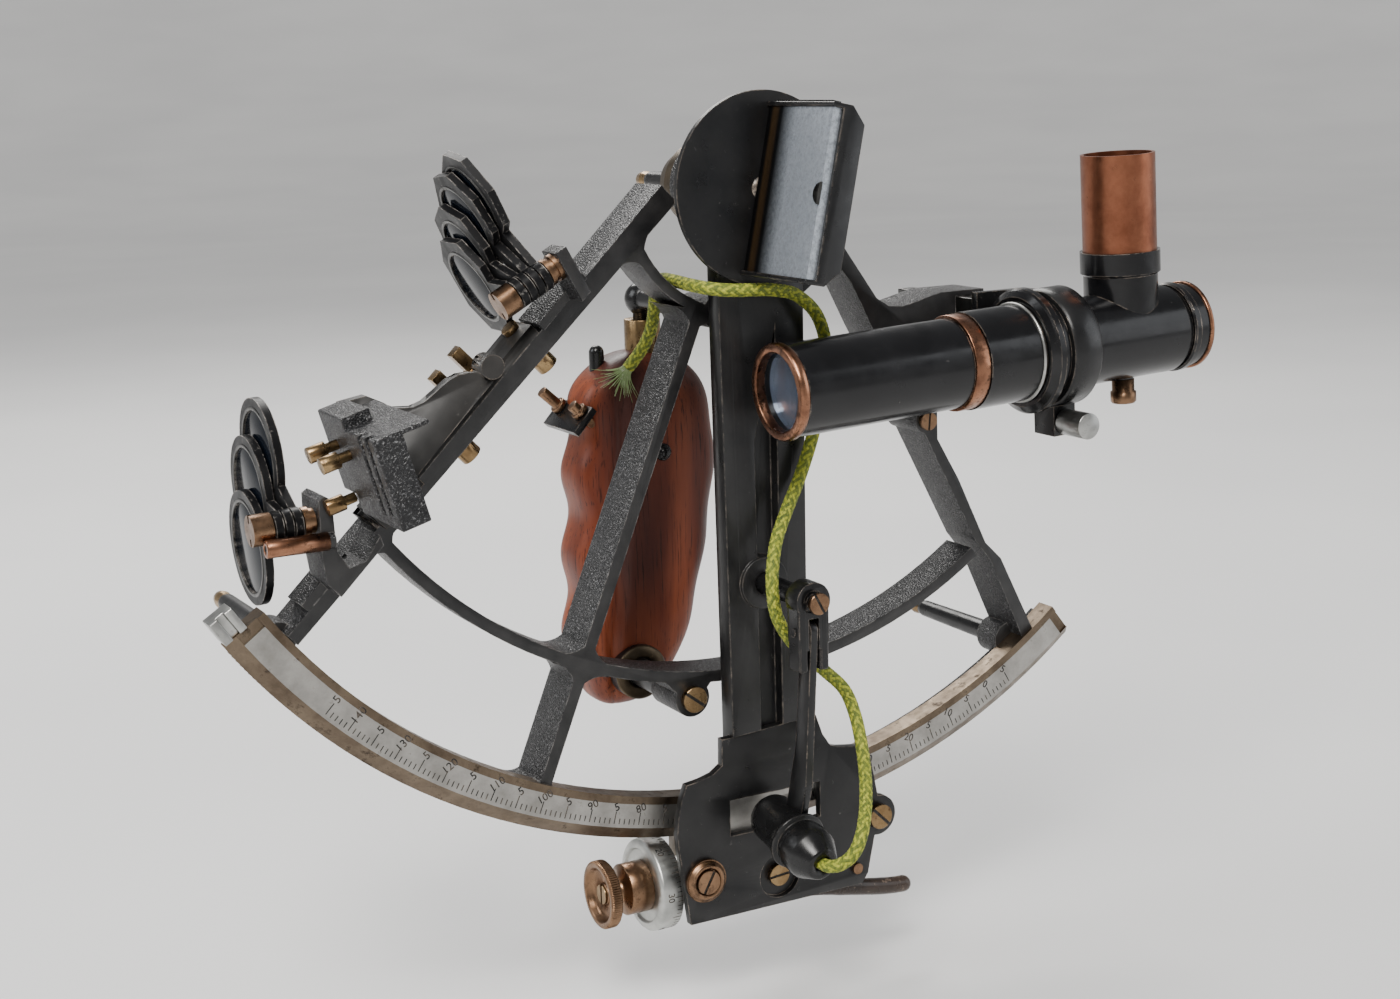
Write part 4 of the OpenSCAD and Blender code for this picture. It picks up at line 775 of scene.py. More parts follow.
@dataclass
class CadDress:
    """Gives every CAD node its finish: the nodes of each, and the shades' finish for the rest."""

    groups: dict[Finish, str] = field(default_factory=lambda: {
        Finish.CRACKLE: "frame_casting horizon_bracket index_shade_bracket horizon_shade_bracket",
        Finish.LIMB: "limb",
        Finish.AGED_SILVER: "arc_scale index_mark",
        Finish.STEEL: "limb_stop clamp_screw",
        Finish.BLACK: ("legs upper_pillar lower_pillar terminal_plate index_mirror_holder mirror_clips "
            "lamp_post telescope_collar lamp_link lamp_arm"),
        Finish.BRASS: "leg_tips horizon_fasteners handle_tube frame_screws arm_pivot drum_knob worm",
        Finish.BRONZE: "index_bearing worm_carrier",
        Finish.ROUGH_BLACK: "horizon_mirror_case",
        Finish.MIRROR: "horizon_mirror_glass",
        Finish.REDDISH: "shade_pins terminal_posts plate_screws telescope_rings",
        Finish.WOOD: "handle_grip",
        Finish.MOULDING: "handle_button lamp_housing",
        Finish.PLATE: "index_arm reading_plate mirror_disc release_lever",
        Finish.HAZE: "index_mirror_glass",
        Finish.SILVER: "drum_index micrometer_drum",
        Finish.DARK_STEEL: "telescope_stem",
        Finish.TUBE: "objective_tube telescope_body eyepiece",
        Finish.LENS: "objective_lens",
        Finish.COPPER: "copper_tube",
        Finish.BRAID: "lamp_cord"})

    def dress(self, nodes: dict[str, Object]) -> None:
        """Replaces the imported materials of every node.

        Args:
            nodes: The CAD nodes by name.
        """
        finishes = {node: finish for finish, names in self.groups.items() for node in names.split()}
        for name, obj in nodes.items():
            finish = finishes.get(name, Finish.SHADE)
            obj.data.materials.clear()
            obj.data.materials.append(WARDROBE.get(finish))


@dataclass
class Frame:
    """The casting, the limb with its engraved scale, and the brackets."""

    tick_r: float = 178.0
    tick_w: float = 0.26
    number_r: float = 178.0 - 4.75
    number_h: float = 2.3
    zero_at: float = 27.75
    first: int = -5
    last: int = 145
    face_y: float = -0.03

    def angle(self, reading: Array) -> Array:
        """Angle from straight down towards +x, in radians, at which a reading stands."""
        return np.radians(self.zero_at - np.asarray(reading, float) / 2)

    def ticks(self) -> Object:
        """A line for each degree: long at every fifth, its outer end on one circle."""
        reading = np.arange(self.first, self.last + 1)
        angle = self.angle(reading)
        length = np.where(reading % 5 == 0, 3.5, 1.6) * MM
        middle = self.tick_r * MM - length / 2
        same = np.ones(len(angle)) * MM
        centers = np.stack([middle * np.sin(angle), self.face_y * same, -middle * np.cos(angle)], -1)
        sizes = np.stack([self.tick_w * same, ENGRAVED * same, length], -1)
        return boxes("scale_ticks", centers, sizes, -angle, Finish.INK)

    def numbers(self) -> Object:
        """The decades and a 5 between them, upright towards the index axis."""
        words = []
        radius = self.number_r
        for reading in range(self.first, self.last + 1, 5):
            angle = float(self.angle(reading))
            word = str(abs(reading)) if reading % 10 == 0 else "5"
            words.append((word, on_face(radius * math.sin(angle), -radius * math.cos(angle), self.face_y,
                                        -math.degrees(angle))))
        return lettering("scale_numbers", words, self.number_h * MM, Finish.INK)

    def build(self) -> None:
        """Builds the engraving and eases the castings' edges."""
        settle(self.ticks(), "frame", "black_metal")
        settle(self.numbers(), "frame", "black_metal")
        for node, finish, width in (
                ("frame_casting", Finish.CRACKLE, 0.35), ("horizon_bracket", Finish.GREY_PAINT, 0.3),
                ("index_shade_bracket", Finish.CRACKLE, 0.3), ("horizon_shade_bracket", Finish.CRACKLE, 0.3),
                ("horizon_mirror_case", Finish.ROUGH_BLACK, 0.4)):
            eased(node, "frame", "crackle_paint", finish, width)
        eased("horizon_fasteners", "frame", "worn_brass", Finish.BRASS, 0.2)
        eased("limb_stop", "frame", "grey_steel", Finish.STEEL, 0.3)


@dataclass
class Grip:
    """The wooden handle: a superellipse for each height, wider at the top, with finger grooves."""

    middle_y: float = 47.0
    depth: float = 26.0
    height: float = 105.0
    middle_z: float = -100.5
    pitch: float = 24.0
    groove: float = 2.6
    wave: float = 0.9
    ball: float = 4.9
    ball_at: tuple[float, float, float] = (-7.5, 47.0, -33.5)

    def surface(self, rows: int = 120, around: int = 128) -> tuple[Array, list]:
        """The body: its half width and depth shrink to the ends as one minus the fifth power of the
        height, and the corners of each ring are a superellipse of power 3.2. The left side swells and
        sinks between the fingers, the right side a little, and a shallow crease runs down the front."""
        t = np.linspace(0.0015, 0.9985, rows)
        z = self.middle_z - self.height / 2 * np.cos(np.pi * t)
        s = (self.middle_z + self.height / 2 - z) / self.height
        mid = -10.1 - 10.5 * (np.maximum(0, s - 0.25) / 0.75) ** 1.5
        half = 23 - 6.2 * (np.maximum(0, s - 0.3) / 0.7) ** 1.4
        end = np.maximum(0, 1 - np.abs(2 * s - 1) ** 5) ** 0.45
        a = circle(around)
        c = np.sign(np.cos(a)) * np.abs(np.cos(a)) ** 0.62
        d = np.sign(np.sin(a)) * np.abs(np.sin(a)) ** 0.62
        ripple = (0.5 - 0.5 * np.cos(2 * np.pi * (z + 83) / self.pitch))[:, None]
        left = np.clip(-c, 0, 1) ** 1.5
        grip = left[None] * self.groove * ripple - np.clip(c, 0, 1)[None] ** 2 * self.wave * ripple
        x = mid[:, None] + (half[:, None] * c + grip) * end[:, None]
        crease = 1.1 * np.exp(-((c + 0.52) / 0.10) ** 2) * np.clip(-d, 0, 1)
        y = self.middle_y + (self.depth / 2 * d + crease) * end[:, None] ** 0.8
        points = np.stack([x, y, z[:, None] * np.ones(around)], -1).reshape(-1, 3) * MM
        return points, tube_faces(rows, around)

    def build(self) -> None:
        """Builds the handle and eases what is fixed to it."""
        points, faces = self.surface()
        grip = make_mesh("grip_body", points, faces, Finish.WOOD)
        tidy_normals(grip)
        settle(grip, "frame", "grip_wood", "handle_grip")
        angle = np.linspace(-0.32 * np.pi, 0.5 * np.pi, 21)
        neck = [(0.0, -6.2), (2.4, -6.2), (2.62, -5.9), (2.62, -4.2)]
        arc = [(self.ball * math.cos(v), self.ball * math.sin(v)) for v in angle[1:-1]]
        ball = revolve("pillar_ball", [*neck, *arc, (0.0, self.ball)], placed(self.ball_at), Finish.MOULDING, 64)
        settle(ball, "frame", "black_metal")
        dome = [(0, -1.5), (2.5, -1.5), (2.5, 0.4), (2.2, 0.9), (1.9, 1.0), (1.6, 1.8), (0.8, 2.3), (0, 2.4)]
        bulb = revolve("grip_bulb", dome, on_face(-8.7, -76.8, 34.0, 0), Finish.MOULDING, 48)
        settle(bulb, "frame", "black_metal")
        flange = [(4.3, -0.2), (8.1, -0.2), (8.1, 0.2), (7.5, 0.6), (5.2, 1.1), (4.3, 0.6)]
        ring = revolve("pillar_flange", flange, on_face(-19.0, -140.8, 32.5, 0), Finish.BRONZE, 72)
        settle(ring, "frame", "black_metal")
        for node, finish, slot in (("handle_tube", Finish.BRASS, "worn_brass"),
                                   ("terminal_plate", Finish.BLACK, "black_metal"),
                                   ("terminal_posts", Finish.REDDISH, "copper_trim")):
            eased(node, "frame", slot, finish, 0.25)


@dataclass
class Arm:
    """The index arm with its reading plate, mirror disc and index mirror."""

    def build(self) -> None:
        """Eases the arm's edges and adds the mirror's clip, pin and teeth and the disc's middle."""
        for node, finish in (("index_arm", Finish.PLATE), ("reading_plate", Finish.PLATE),
                             ("index_mirror_holder", Finish.BLACK)):
            eased(node, "index_arm", "black_metal", finish, 0.3)
        settle(self.clip(), "index_arm", "copper_trim", "mirror_clips")
        pin = [(0, 0), (1.5, 0), (1.5, 2.6), (1.3, 3.0), (1.0, 3.0), (1.0, 3.4), (0, 3.4)]
        place = self.mirror_place() @ placed((9.3, -20, 3), 90, "Y")
        settle(revolve("holder_pin", pin, place, Finish.REDDISH, 40), "index_arm", "copper_trim")
        cap = [(0, 0), (3.1, 0), (3.1, 0.05), (0.6, 0.16), (0.5, 0.05), (0, 0.05)]
        settle(revolve("disc_middle", cap, on_face(0, 0, -11.1, 0), Finish.PLATE, 64), "index_arm", "black_metal")
        settle(self.teeth(), "index_arm", "black_metal")

    @staticmethod
    def mirror_place() -> Matrix:
        """The index mirror's own axes: x across its face, z up along it."""
        return placed((-1.8, -11.1, 0), 12, "Y")

    def clip(self) -> Object:
        """The half-moon clip on the glass: half circles whose middles lie on its outer edge, the outer ones
        smaller, joined into a low dome."""
        angle = np.linspace(-np.pi / 2, np.pi / 2, 32)
        rings = []
        for radius, level in ((2.9, 0.05), (2.9, -0.5), (2.5, -0.85), (0.9, -1.0)):
            across, up = -32.3 + radius * np.cos(angle), radius * np.sin(angle)
            rings.append(np.column_stack([np.full(32, level), across, up]))
        obj = make_mesh("half_moon_clip", np.vstack(rings) * MM, tube_faces(4, 32), Finish.DARK_STEEL, smooth=False)
        obj.data.transform(self.mirror_place())
        tidy_normals(obj)
        return obj

    def teeth(self) -> Object:
        """A row of small blocks along the upper lip of the mirror's holder."""
        y = np.arange(-31.0, -4.0, 1.5)
        count = len(y)
        centers = np.column_stack([np.full(count, 0.9), y, np.full(count, 23.15)]) * MM
        sizes = np.tile([2.6, 0.9, 0.5], (count, 1)) * MM
        obj = boxes("holder_teeth", centers, sizes, np.zeros(count), Finish.DARK_STEEL)
        obj.data.transform(self.mirror_place())
        return obj


@dataclass(frozen=True)
class ScrewHead:
    """A slotted head that stands on a CAD screw: two half discs either side of its slot."""

    name: str
    x: float
    z: float
    face: float
    radius: float
    turn: float
    body: str = "index_arm"
    slot: str = "copper_trim"
    finish: Finish = Finish.REDDISH
    back: float = 0.9

    def build(self) -> None:
        """Builds the head over the screw's own."""
        place = on_face(self.x, self.z, self.face, self.turn)
        half = 0.13 * self.radius
        head = slot_halves(f"{self.name}_head", self.radius + 0.08, half, -self.back, 0.4, place, self.finish)
        settle(head, self.body, self.slot)


@dataclass(frozen=True)
class Screws:
    """Every slotted head that looks to the front."""

    heads: tuple[ScrewHead, ...] = (
        ScrewHead("plate_screw", -22.1, -190.6, -11.2, 3.4, 61.0),
        ScrewHead("pivot_screw", 35.7, -183.1, -10.6, 3.6, -45.0, finish=Finish.BRASS),
        ScrewHead("spring_screw", 2.2, -194.4, -8.7, 3.1, 5.0, finish=Finish.BRASS),
        ScrewHead("link_screw", -1.5, -107.7, -38.8, 2.9, -62.0, back=0.8),
        ScrewHead("strut_screw", 60.5, -70.5, -0.4, 2.6, 85.0, "frame", "worn_brass"),
        ScrewHead("pillar_screw", -19.0, -140.8, -0.6, 3.6, -38.0, "frame", "worn_brass", Finish.BRASS))

    def build(self) -> None:
        """Builds the heads, the painted shade in their slots as thin black floors, the plate screw's ring and the
        stop rod's sleeve.
        """
        for head in self.heads:
            head.build()
        # painted shade: a thin black sheet near the bottom of each slot
        for body, slot in (("index_arm", "copper_trim"), ("frame", "worn_brass")):
            heads = [head for head in self.heads if head.body == body]
            centers = np.array([(head.x, head.face - 0.03, head.z) for head in heads]) * MM
            sizes = np.array([(1.94 * head.radius, ENGRAVED, 0.26 * head.radius) for head in heads]) * MM
            turns = np.radians([-head.turn for head in heads])
            settle(boxes(f"{body}_slot_painted_shade", centers, sizes, turns, Finish.INK), body, slot)
        profile = [(3.6, 0), (5.9, 0), (5.9, 0.25), (5.3, 0.4), (5.2, 0.9), (4.8, 1.25), (4.2, 1.25), (3.8, 0.9),
                   (3.6, 0.4)]
        ring = revolve("plate_screw_ring", profile, on_face(-22.1, -190.6, -10.0, 0.0), Finish.REDDISH, 96)
        settle(ring, "index_arm", "copper_trim")
        sleeve = [(1.9, 0.1), (2.3, 0.1), (2.3, 15.6), (2.1, 15.9), (1.0, 15.9), (1.0, 15.75), (1.9, 15.75)]
        place = placed((-124.9, -10.2, -79.4), -90, "Y")
        settle(revolve("stop_rod_sleeve", sleeve, place, Finish.RING, 48), "frame", "copper_trim")


@dataclass
class Micrometer:
    """The drum with its sixty marks, the knob and the carrier."""

    axis_y: float = 7.0
    axis_z: float = -195.0
    drum_x: float = -30.0
    drum_r: float = 13.2
    band: float = 6.0
    mark_w: float = 0.2
    number_h: float = 2.0

    def marks(self) -> Object:
        """Sixty lines along the drum's band, longer at every fifth, each a thin block on the rim."""
        k = np.arange(60)
        angle = 2 * np.pi * (k - 30) / 60
        length = np.where(k % 5 == 0, 2.6, 1.6) * MM
        radius = (self.drum_r + 0.01) * MM
        right = (self.drum_x + self.band / 2 - 0.6) * MM
        sizes = np.stack([length, np.full(60, self.mark_w * MM), np.full(60, ENGRAVED * MM)], -1)
        local = np.repeat(CUBE[None], 60, 0) * sizes[:, None]
        local[..., 0] += (right - length / 2)[:, None]
        local[..., 2] += radius
        c, s = np.cos(angle)[:, None], np.sin(angle)[:, None]
        front = -local[..., 2]
        points = np.stack([local[..., 0], self.axis_y * MM + front * c + local[..., 1] * s,
                           self.axis_z * MM - front * s + local[..., 1] * c], -1)
        obj = make_mesh("drum_marks", points.reshape(-1, 3), cube_faces(60), Finish.INK, smooth=False)
        tidy_normals(obj)
        return obj

    def numbers(self) -> Object:
        """A number at every tenth mark, standing around the drum."""
        words = []
        for value in range(0, 60, 10):
            turn = Matrix.Rotation(2 * math.pi * (value - 30) / 60, 4, "X")
            place = (placed((self.drum_x - 1.4, self.axis_y, self.axis_z)) @ turn
                     @ Matrix.Translation(Vector((0, -self.drum_r * MM, 0)))
                     @ Matrix.Rotation(math.radians(90), 4, "X") @ Matrix.Rotation(math.radians(-90), 4, "Z"))
            words.append((str(value), place))
        return lettering("drum_numbers", words, self.number_h * MM, Finish.INK)

    def knob(self) -> None:
        """The cupped and finely milled knob, with the two halves of its screw's slotted head."""
        profile = [(0, 0), (7.1, 0), (7.3, 0.2), (7.3, 6.6), (6.9, 7.0), (4.2, 7.4), (3.5, 8.2), (3.4, 10.2),
                   (4.2, 11), (9.1, 11), (9.62, 11.5), (9.65, 12.0), (9.65, 13.6), (9.62, 14.1), (9.2, 14.5),
                   (8.1, 14.5), (7.7, 14.2), (7.4, 12.9), (6.4, 12.15), (3.4, 12.05), (3.1, 12.3), (3.1, 12.7),
                   (0, 12.7)]
        place = placed((self.drum_x - self.band / 2 - 0.4, self.axis_y, self.axis_z), -90, "Y")
        turned = revolve("milled_knob", profile, place, Finish.REDDISH, 540, 0.28, 90)
        settle(turned, "drum", "worn_brass", "drum_knob")
        settle(slot_halves("knob_screw", 2.9, 0.45, 12.6, 13.4, place, Finish.BRASS), "drum", "worn_brass")

    def arrow(self) -> Object:
        """The index mark on the collar: a line along it with two barbs."""
        centers = np.array([(-25.9, 0, 0), (-24.6, 0, 0.45), (-24.6, 0, -0.45)]) * MM
        sizes = np.array([(3.0, 0.06, 0.2), (1.3, 0.06, 0.18), (1.3, 0.06, 0.18)]) * MM
        obj = boxes("collar_mark", centers + np.array([1.2, -6.01, 0]) * MM, sizes,
                    np.radians([0.0, 40.0, -40.0]), Finish.INK)
        obj.data.transform(placed((0, self.axis_y, self.axis_z)))
        return obj

    def lever(self) -> Object:
        """The release lever: a round bar whose middle line bends once and whose ends close as half spheres."""
        t = np.linspace(0, 1, 80)
        x = 13.5 + 37.0 * t
        z = -203.9 - 5.6 * (3 * t**2 - 2 * t**3) + 0.5 * t
        line = np.stack([x, np.full_like(t, -3.1), z], -1) * MM
        end = np.sqrt(np.clip(1 - np.clip(np.abs(2 * t - 1) * 18.5 - 16.0, 0, 2.49)**2 / 2.5**2, 0, 1))
        radius = (1.6 + 0.9 * np.clip(3 * t, 0, 1)) * end * MM
        points = tube_points(line, radius[:, None], circle(28))
        obj = make_mesh("lever_bar", points, tube_faces(len(t), 28), Finish.LEVER)
        tidy_normals(obj)
        return obj

    def build(self) -> None:
        """Builds the engraving, the knob and the lever, and eases the drum and the carrier."""
        settle(self.marks(), "drum", "black_metal")
        settle(self.numbers(), "drum", "black_metal")
        eased("micrometer_drum", "drum", "scale_silver", Finish.SILVER, 0.2)
        self.knob()
        settle(self.arrow(), "carrier", "black_metal")
        eased("worm_carrier", "carrier", "dark_bronze", Finish.BRONZE, 0.3)
        settle(self.lever(), "carrier", "black_metal", "release_lever")


@dataclass
class Shades:
    """The seven folding shades, each a black frame with its dark glass."""

    index_pin: tuple[float, float, float] = (-74.2, -4.0, -26.3)
    index_lean: float = 28.8
    index_reach: float = 27.0
    index_angles: tuple[float, ...] = (180.0, 162.0, 140.0, 125.0)
    horizon_pin: tuple[float, float, float] = (-142.9, -5.0, -75.6)
    horizon_lean: float = 2.67
    horizon_reach: float = 26.0
    horizon_angles: tuple[float, ...] = (-22.0, 8.6, 31.8)
    pitch: float = 2.5
    thick: float = 2.1
    gap: float = 0.05
    index_start: float = 5.4
    horizon_start: float = 5.6

    def place(self, pin: tuple, lean: float, turn: float) -> Matrix:
        """The matrix of a shade's own plane: x from the pin to the window, z along the pin."""
        return placed(pin, 90 - lean, "Y") @ Matrix.Rotation(math.radians(turn), 4, "Z")

    def rim(self, name: str, place: Matrix, reach: float, start: float, radius: float) -> Object:
        """The raised ring around a window on both faces: a low rounded outline turned about its middle."""
        outline = np.array([(0.05, -0.1), (0.1, 0.1), (0.3, 0.16), (0.75, 0.16), (1.0, 0.1), (1.05, -0.1),
                            (0.05, -0.1)])
        a = circle(72)
        ring = radius + outline[:, :1]
        sides = []
        for sign, level in ((-1, start), (1, start + self.thick)):
            points = [reach + ring * np.cos(a), ring * np.sin(a), level + sign * outline[:, 1:] * np.ones(72)]
            sides.append(np.stack(points, -1).reshape(-1, 3) * MM)
        faces = tube_faces(len(outline), 72, capped=False)
        both = faces + [[c + len(sides[0]) for c in f] for f in faces]
        obj = make_mesh(name, np.vstack(sides), both, Finish.DARK_STEEL)
        obj.data.transform(place)
        tidy_normals(obj)
        return obj

    def glass(self, name: str, place: Matrix, reach: float, start: float, radius: float) -> Object:
        """The dark glass: a flat round disc with eased edges, standing a hair proud of the node's own."""
        profile = [(0.0, 0.36), (radius - 0.3, 0.36), (radius - 0.02, 0.5), (radius - 0.02, self.thick - 0.5),
                   (radius - 0.3, self.thick - 0.36), (0.0, self.thick - 0.36)]
        return revolve(name, profile, place @ placed((reach, 0, start)), Finish.DARK_GLASS, 72)

    def build(self) -> None:
        """Adds a glass and its raised rings to each shade."""
        index = [270 - angle for angle in self.index_angles]
        horizon = [90 + angle for angle in self.horizon_angles]
        for kind, turns, pin, lean, reach, first, radius in (
                ("index", index, self.index_pin, self.index_lean, self.index_reach, self.index_start, 10.0),
                ("horizon", horizon, self.horizon_pin, self.horizon_lean, self.horizon_reach,
                 self.horizon_start, 11.8)):
            for i, turn in enumerate(turns):
                place, start = self.place(pin, lean, turn), first + i * self.pitch
                body = f"{kind}_shade_{i + 1}"
                glass = self.glass(f"{kind}_glass_{i + 1}", place, reach, start, radius - self.gap)
                settle(glass, body, "clear_glass")
                settle(self.rim(f"{kind}_rim_{i + 1}", place, reach, start, radius), body, "shade_frame")


@dataclass
class Telescope:
    """The telescope on its rising stem."""

    def build(self) -> None:
        """Eases the edges of the telescope's fittings and adds its turned rings and the drilled post."""
        for node, finish, slot in (("telescope_stem", Finish.DARK_STEEL, "scale_silver"),
                                   ("telescope_collar", Finish.BLACK, "black_metal"),
                                   ("telescope_rings", Finish.RING, "copper_trim")):
            eased(node, "telescope", slot, finish, 0.3)
        eased("clamp_screw", "clamp", "grey_steel", Finish.STEEL, 0.3)
        axis = placed((-7.0, -28.0, -52.1), 90 - 2.67, "Y")
        rim = [(11.7, 0.0), (12.5, 0.0), (12.75, 0.3), (12.75, 1.2), (12.4, 1.5), (11.7, 1.4)]
        settle(self.turned("eyepiece_rim", rim, axis, 137.8, Finish.RING), "eyepiece", "copper_trim")
        edge = [(12.2, 0.0), (13.9, 0.0), (14.2, 0.5), (13.9, 0.9), (12.2, 0.9)]
        settle(self.turned("bright_step", edge, axis, 77.2, Finish.STEEL), "telescope", "grey_steel")
        post = [(2.8, 0.0), (3.2, 0.2), (3.2, 3.6), (3.7, 3.9), (3.7, 6.6), (3.3, 7.1), (0.8, 7.2), (0.8, 7.05),
                (2.8, 6.95)]
        down = axis @ placed((12.6, 0.0, 115.6), 90, "Y")
        settle(revolve("drilled_post", post, down, Finish.REDDISH, 48), "telescope", "copper_trim")

    @staticmethod
    def turned(name: str, profile: list[tuple[float, float]], axis: Matrix, start: float,
               finish: Finish) -> Object:
        """A ring on the telescope's axis, from a profile that starts at a distance along it."""
        return revolve(name, profile, axis @ placed((0, 0, start)), finish, 96)


@dataclass
class LampCord:
    """The lamp with its bracket, and its braided cord, bare and frayed at the far end."""

    diameter: float = 4.0
    lamp_scale: float = 1.07
    route: tuple[tuple[float, float, float], ...] = (
        (-3.5, -32.8, -177.4), (-3.5, -36.5, -178.2), (-3.5, -40.2, -178.95), (-2.85, -44.4, -178.9),
        (-1, -47.9, -177.2), (1.5, -49.6, -174.2), (4.1, -48.9, -170.5), (7.1, -46, -167.2),
        (10.3, -41.9, -163.7), (13.8, -36.3, -158.6), (16.8, -30, -152.4), (18.1, -24.8, -145.2),
        (16.4, -22.2, -138.4), (10.8, -21.4, -132.4), (4, -22.8, -126.5), (-2, -24, -120.5),
        (-6.2, -24.5, -113.3), (-7.3, -24.4, -105.5), (-5.8, -22.5, -99.2), (-2, -18.5, -93.5),
        (3.5, -15, -86.6), (9, -13, -78.4), (13.3, -12.7, -68.1), (16.8, -12.7, -56.2), (18.3, -12.7, -45),
        (15.2, -13.2, -35), (8.2, -14, -28.8), (0.8, -14.5, -26.8), (-5.2, -14.7, -26.3),
        (-9.7, -14.6, -26.1), (-13.8, -13.4, -25.8), (-16.7, -10.4, -25.4), (-17.8, -6.2, -25.1),
        (-17.8, -1.5, -25), (-17.5, 4.5, -24.8), (-17.2, 10, -24.7), (-16.9, 14.6, -24.8),
        (-16.5, 18.7, -26), (-15.7, 22, -29.3), (-14.8, 24.9, -34), (-14.2, 28.4, -40.2), (-15.4, 32, -46),
        (-18.4, 35.2, -51.5))
    strands: int = 10
    twist: float = 3.0

    def line(self, steps: int) -> Array:
        """Points along the route: a cubic between each two of its points, which leaves each point along
        the line that joins its neighbours, spaced evenly along the length."""
        p = np.array(self.route, float) * MM
        p = np.vstack([p[:1], p, p[-1:]])
        u = np.linspace(0, 1, 24, endpoint=False)[:, None]
        parts = []
        for a, b, c, d in zip(p[:-3], p[1:-2], p[2:-1], p[3:]):
            parts.append(0.5 * (2 * b + (c - a) * u + (2 * a - 5 * b + 4 * c - d) * u**2
                                + (3 * b - a - 3 * c + d) * u**3))
        dense = np.vstack([*parts, p[-2:-1]])
        run = np.concatenate([[0], np.cumsum(np.linalg.norm(np.diff(dense, axis=0), axis=1))])
        even = np.linspace(0, run[-1], steps)
        return np.stack([np.interp(even, run, dense[:, k]) for k in range(3)], -1)

    def weave(self) -> tuple[Object, Array]:
        """The braid: a tube whose radius rises over two families of strands that wind opposite ways and
        pass over each other in turn, with each strand's number kept for its colour and each point's height kept for
        the painted shade between the strands."""
        rows, around = 1300, 60
        line = self.line(rows)
        run = np.linspace(0, np.linalg.norm(np.diff(line, axis=0), axis=1).sum(), rows) / (self.diameter * MM)
        angle = circle(around)
        u, v = np.meshgrid(run, angle / (2 * np.pi), indexing="ij")
        left = self.strands * v + self.twist * u
        right = self.strands * v - self.twist * u
        over = 0.5 + 0.5 * np.sign(np.sin(np.pi * left) * np.sin(np.pi * right))
        height = np.where(over > 0.5, np.abs(np.sin(np.pi * left)), np.abs(np.sin(np.pi * right))) ** 0.7
        strand = np.where(over > 0.5, (np.floor(left) % 3 == 0) * 1.0, 1.0 - (np.floor(right) % 3 == 0) * 1.0)
        radius = (self.diameter / 2 - 0.5 + 0.3 * height) * MM
        obj = make_mesh("braided_cord", tube_points(line, radius, angle), tube_faces(rows, around), Finish.BRAID)
        for name, values in (("braid_height", height), ("braid_strand", strand)):
            layer = obj.data.attributes.new(name, "FLOAT", "POINT")
            layer.data.foreach_set("value", values.astype(np.float32).ravel())
        return obj, line

    def fray(self, line: Array) -> Object:
        """Loose yarns at the bare end: thin tapering tubes that fan out along bent lines."""
        rng = np.random.default_rng(7)
        end, way = line[-1], line[-1] - line[-6]
        way /= np.linalg.norm(way)
        side = np.cross(way, [0.2, 0.1, 1.0])
        side /= np.linalg.norm(side)
        up = np.cross(side, way)
        count, steps, around = 84, 8, 5
        t = np.linspace(0, 1, steps)
        a = circle(around)
        turn = rng.uniform(0, 2 * np.pi, count)
        root = rng.uniform(0.4, 1.5, count) * MM
        length = rng.uniform(3.0, 6.5, count) * MM
        spread = rng.uniform(0.4, 1.4, count)
        out = side[None] * np.cos(turn)[:, None] + up[None] * np.sin(turn)[:, None]
        path = (end + root[:, None] * out)[:, None] + (way * length[:, None])[:, None] * t[None, :, None]
        path = path + (out * (length * spread)[:, None])[:, None] * (t**2)[None, :, None]
        path[..., 2] -= (length * 0.25)[:, None] * t[None] ** 2
        width = 0.22 * MM * (1 - 0.7 * t)
        ring = side[None] * np.cos(a)[:, None] + up[None] * np.sin(a)[:, None]
        points = path[:, :, None] + width[None, :, None, None] * ring[None, None]
        base = tube_faces(steps, around)
        faces = [[c + k * steps * around for c in f] for k in range(count) for f in base]
        return make_mesh("frayed_yarn", points.reshape(-1, 3), faces, Finish.YARN)

    def fork(self) -> Object:
        """The two prongs of the link: bars either side of the lamp's arm, with rounded corners."""
        centers = np.array([(-4.75, -33.0, -117.0), (1.75, -33.0, -117.0)]) * MM
        sizes = np.tile([2.9, 6.1, 20.0], (2, 1)) * MM
        obj = boxes("link_fork", centers, sizes, np.zeros(2), Finish.BLACK)
        tidy_normals(obj)
        bevel = obj.modifiers.new("rounded corners", "BEVEL")
        bevel.width, bevel.segments, bevel.limit_method = 0.9 * MM, 4, "NONE"
        return obj

    def housing(self) -> Object:
        """The lamp's turned housing: a round nose, a barrel that flares to a ring, a thread and the cord's cap."""
        profile = [(0, 2.2), (3.6, 2.2), (3.6, 0.4), (4.0, 0.0), (4.9, 0.6), (5.8, 1.7), (6.35, 3.2), (6.5, 5.0),
                   (6.4, 8.0), (6.45, 10.5), (6.8, 13.0), (7.5, 15.2), (7.75, 15.6), (7.75, 16.1),
                   (7.5, 16.4), (6.5, 16.4), (6.3, 16.7), (6.6, 17.0), (6.3, 17.3), (6.6, 17.6), (6.3, 17.9),
                   (6.5, 18.2), (6.9, 18.4), (7.0, 18.8), (6.9, 23.0), (6.6, 23.6), (4.4, 28.0), (3.9, 28.5),
                   (2.35, 28.5), (2.35, 21.0), (0, 21.0)]
        place = placed((-3.5, -12.0, -173.0), 102, "X") @ Matrix.Scale(self.lamp_scale, 4)
        return revolve("lamp_turned", profile, place, Finish.MOULDING, 96)

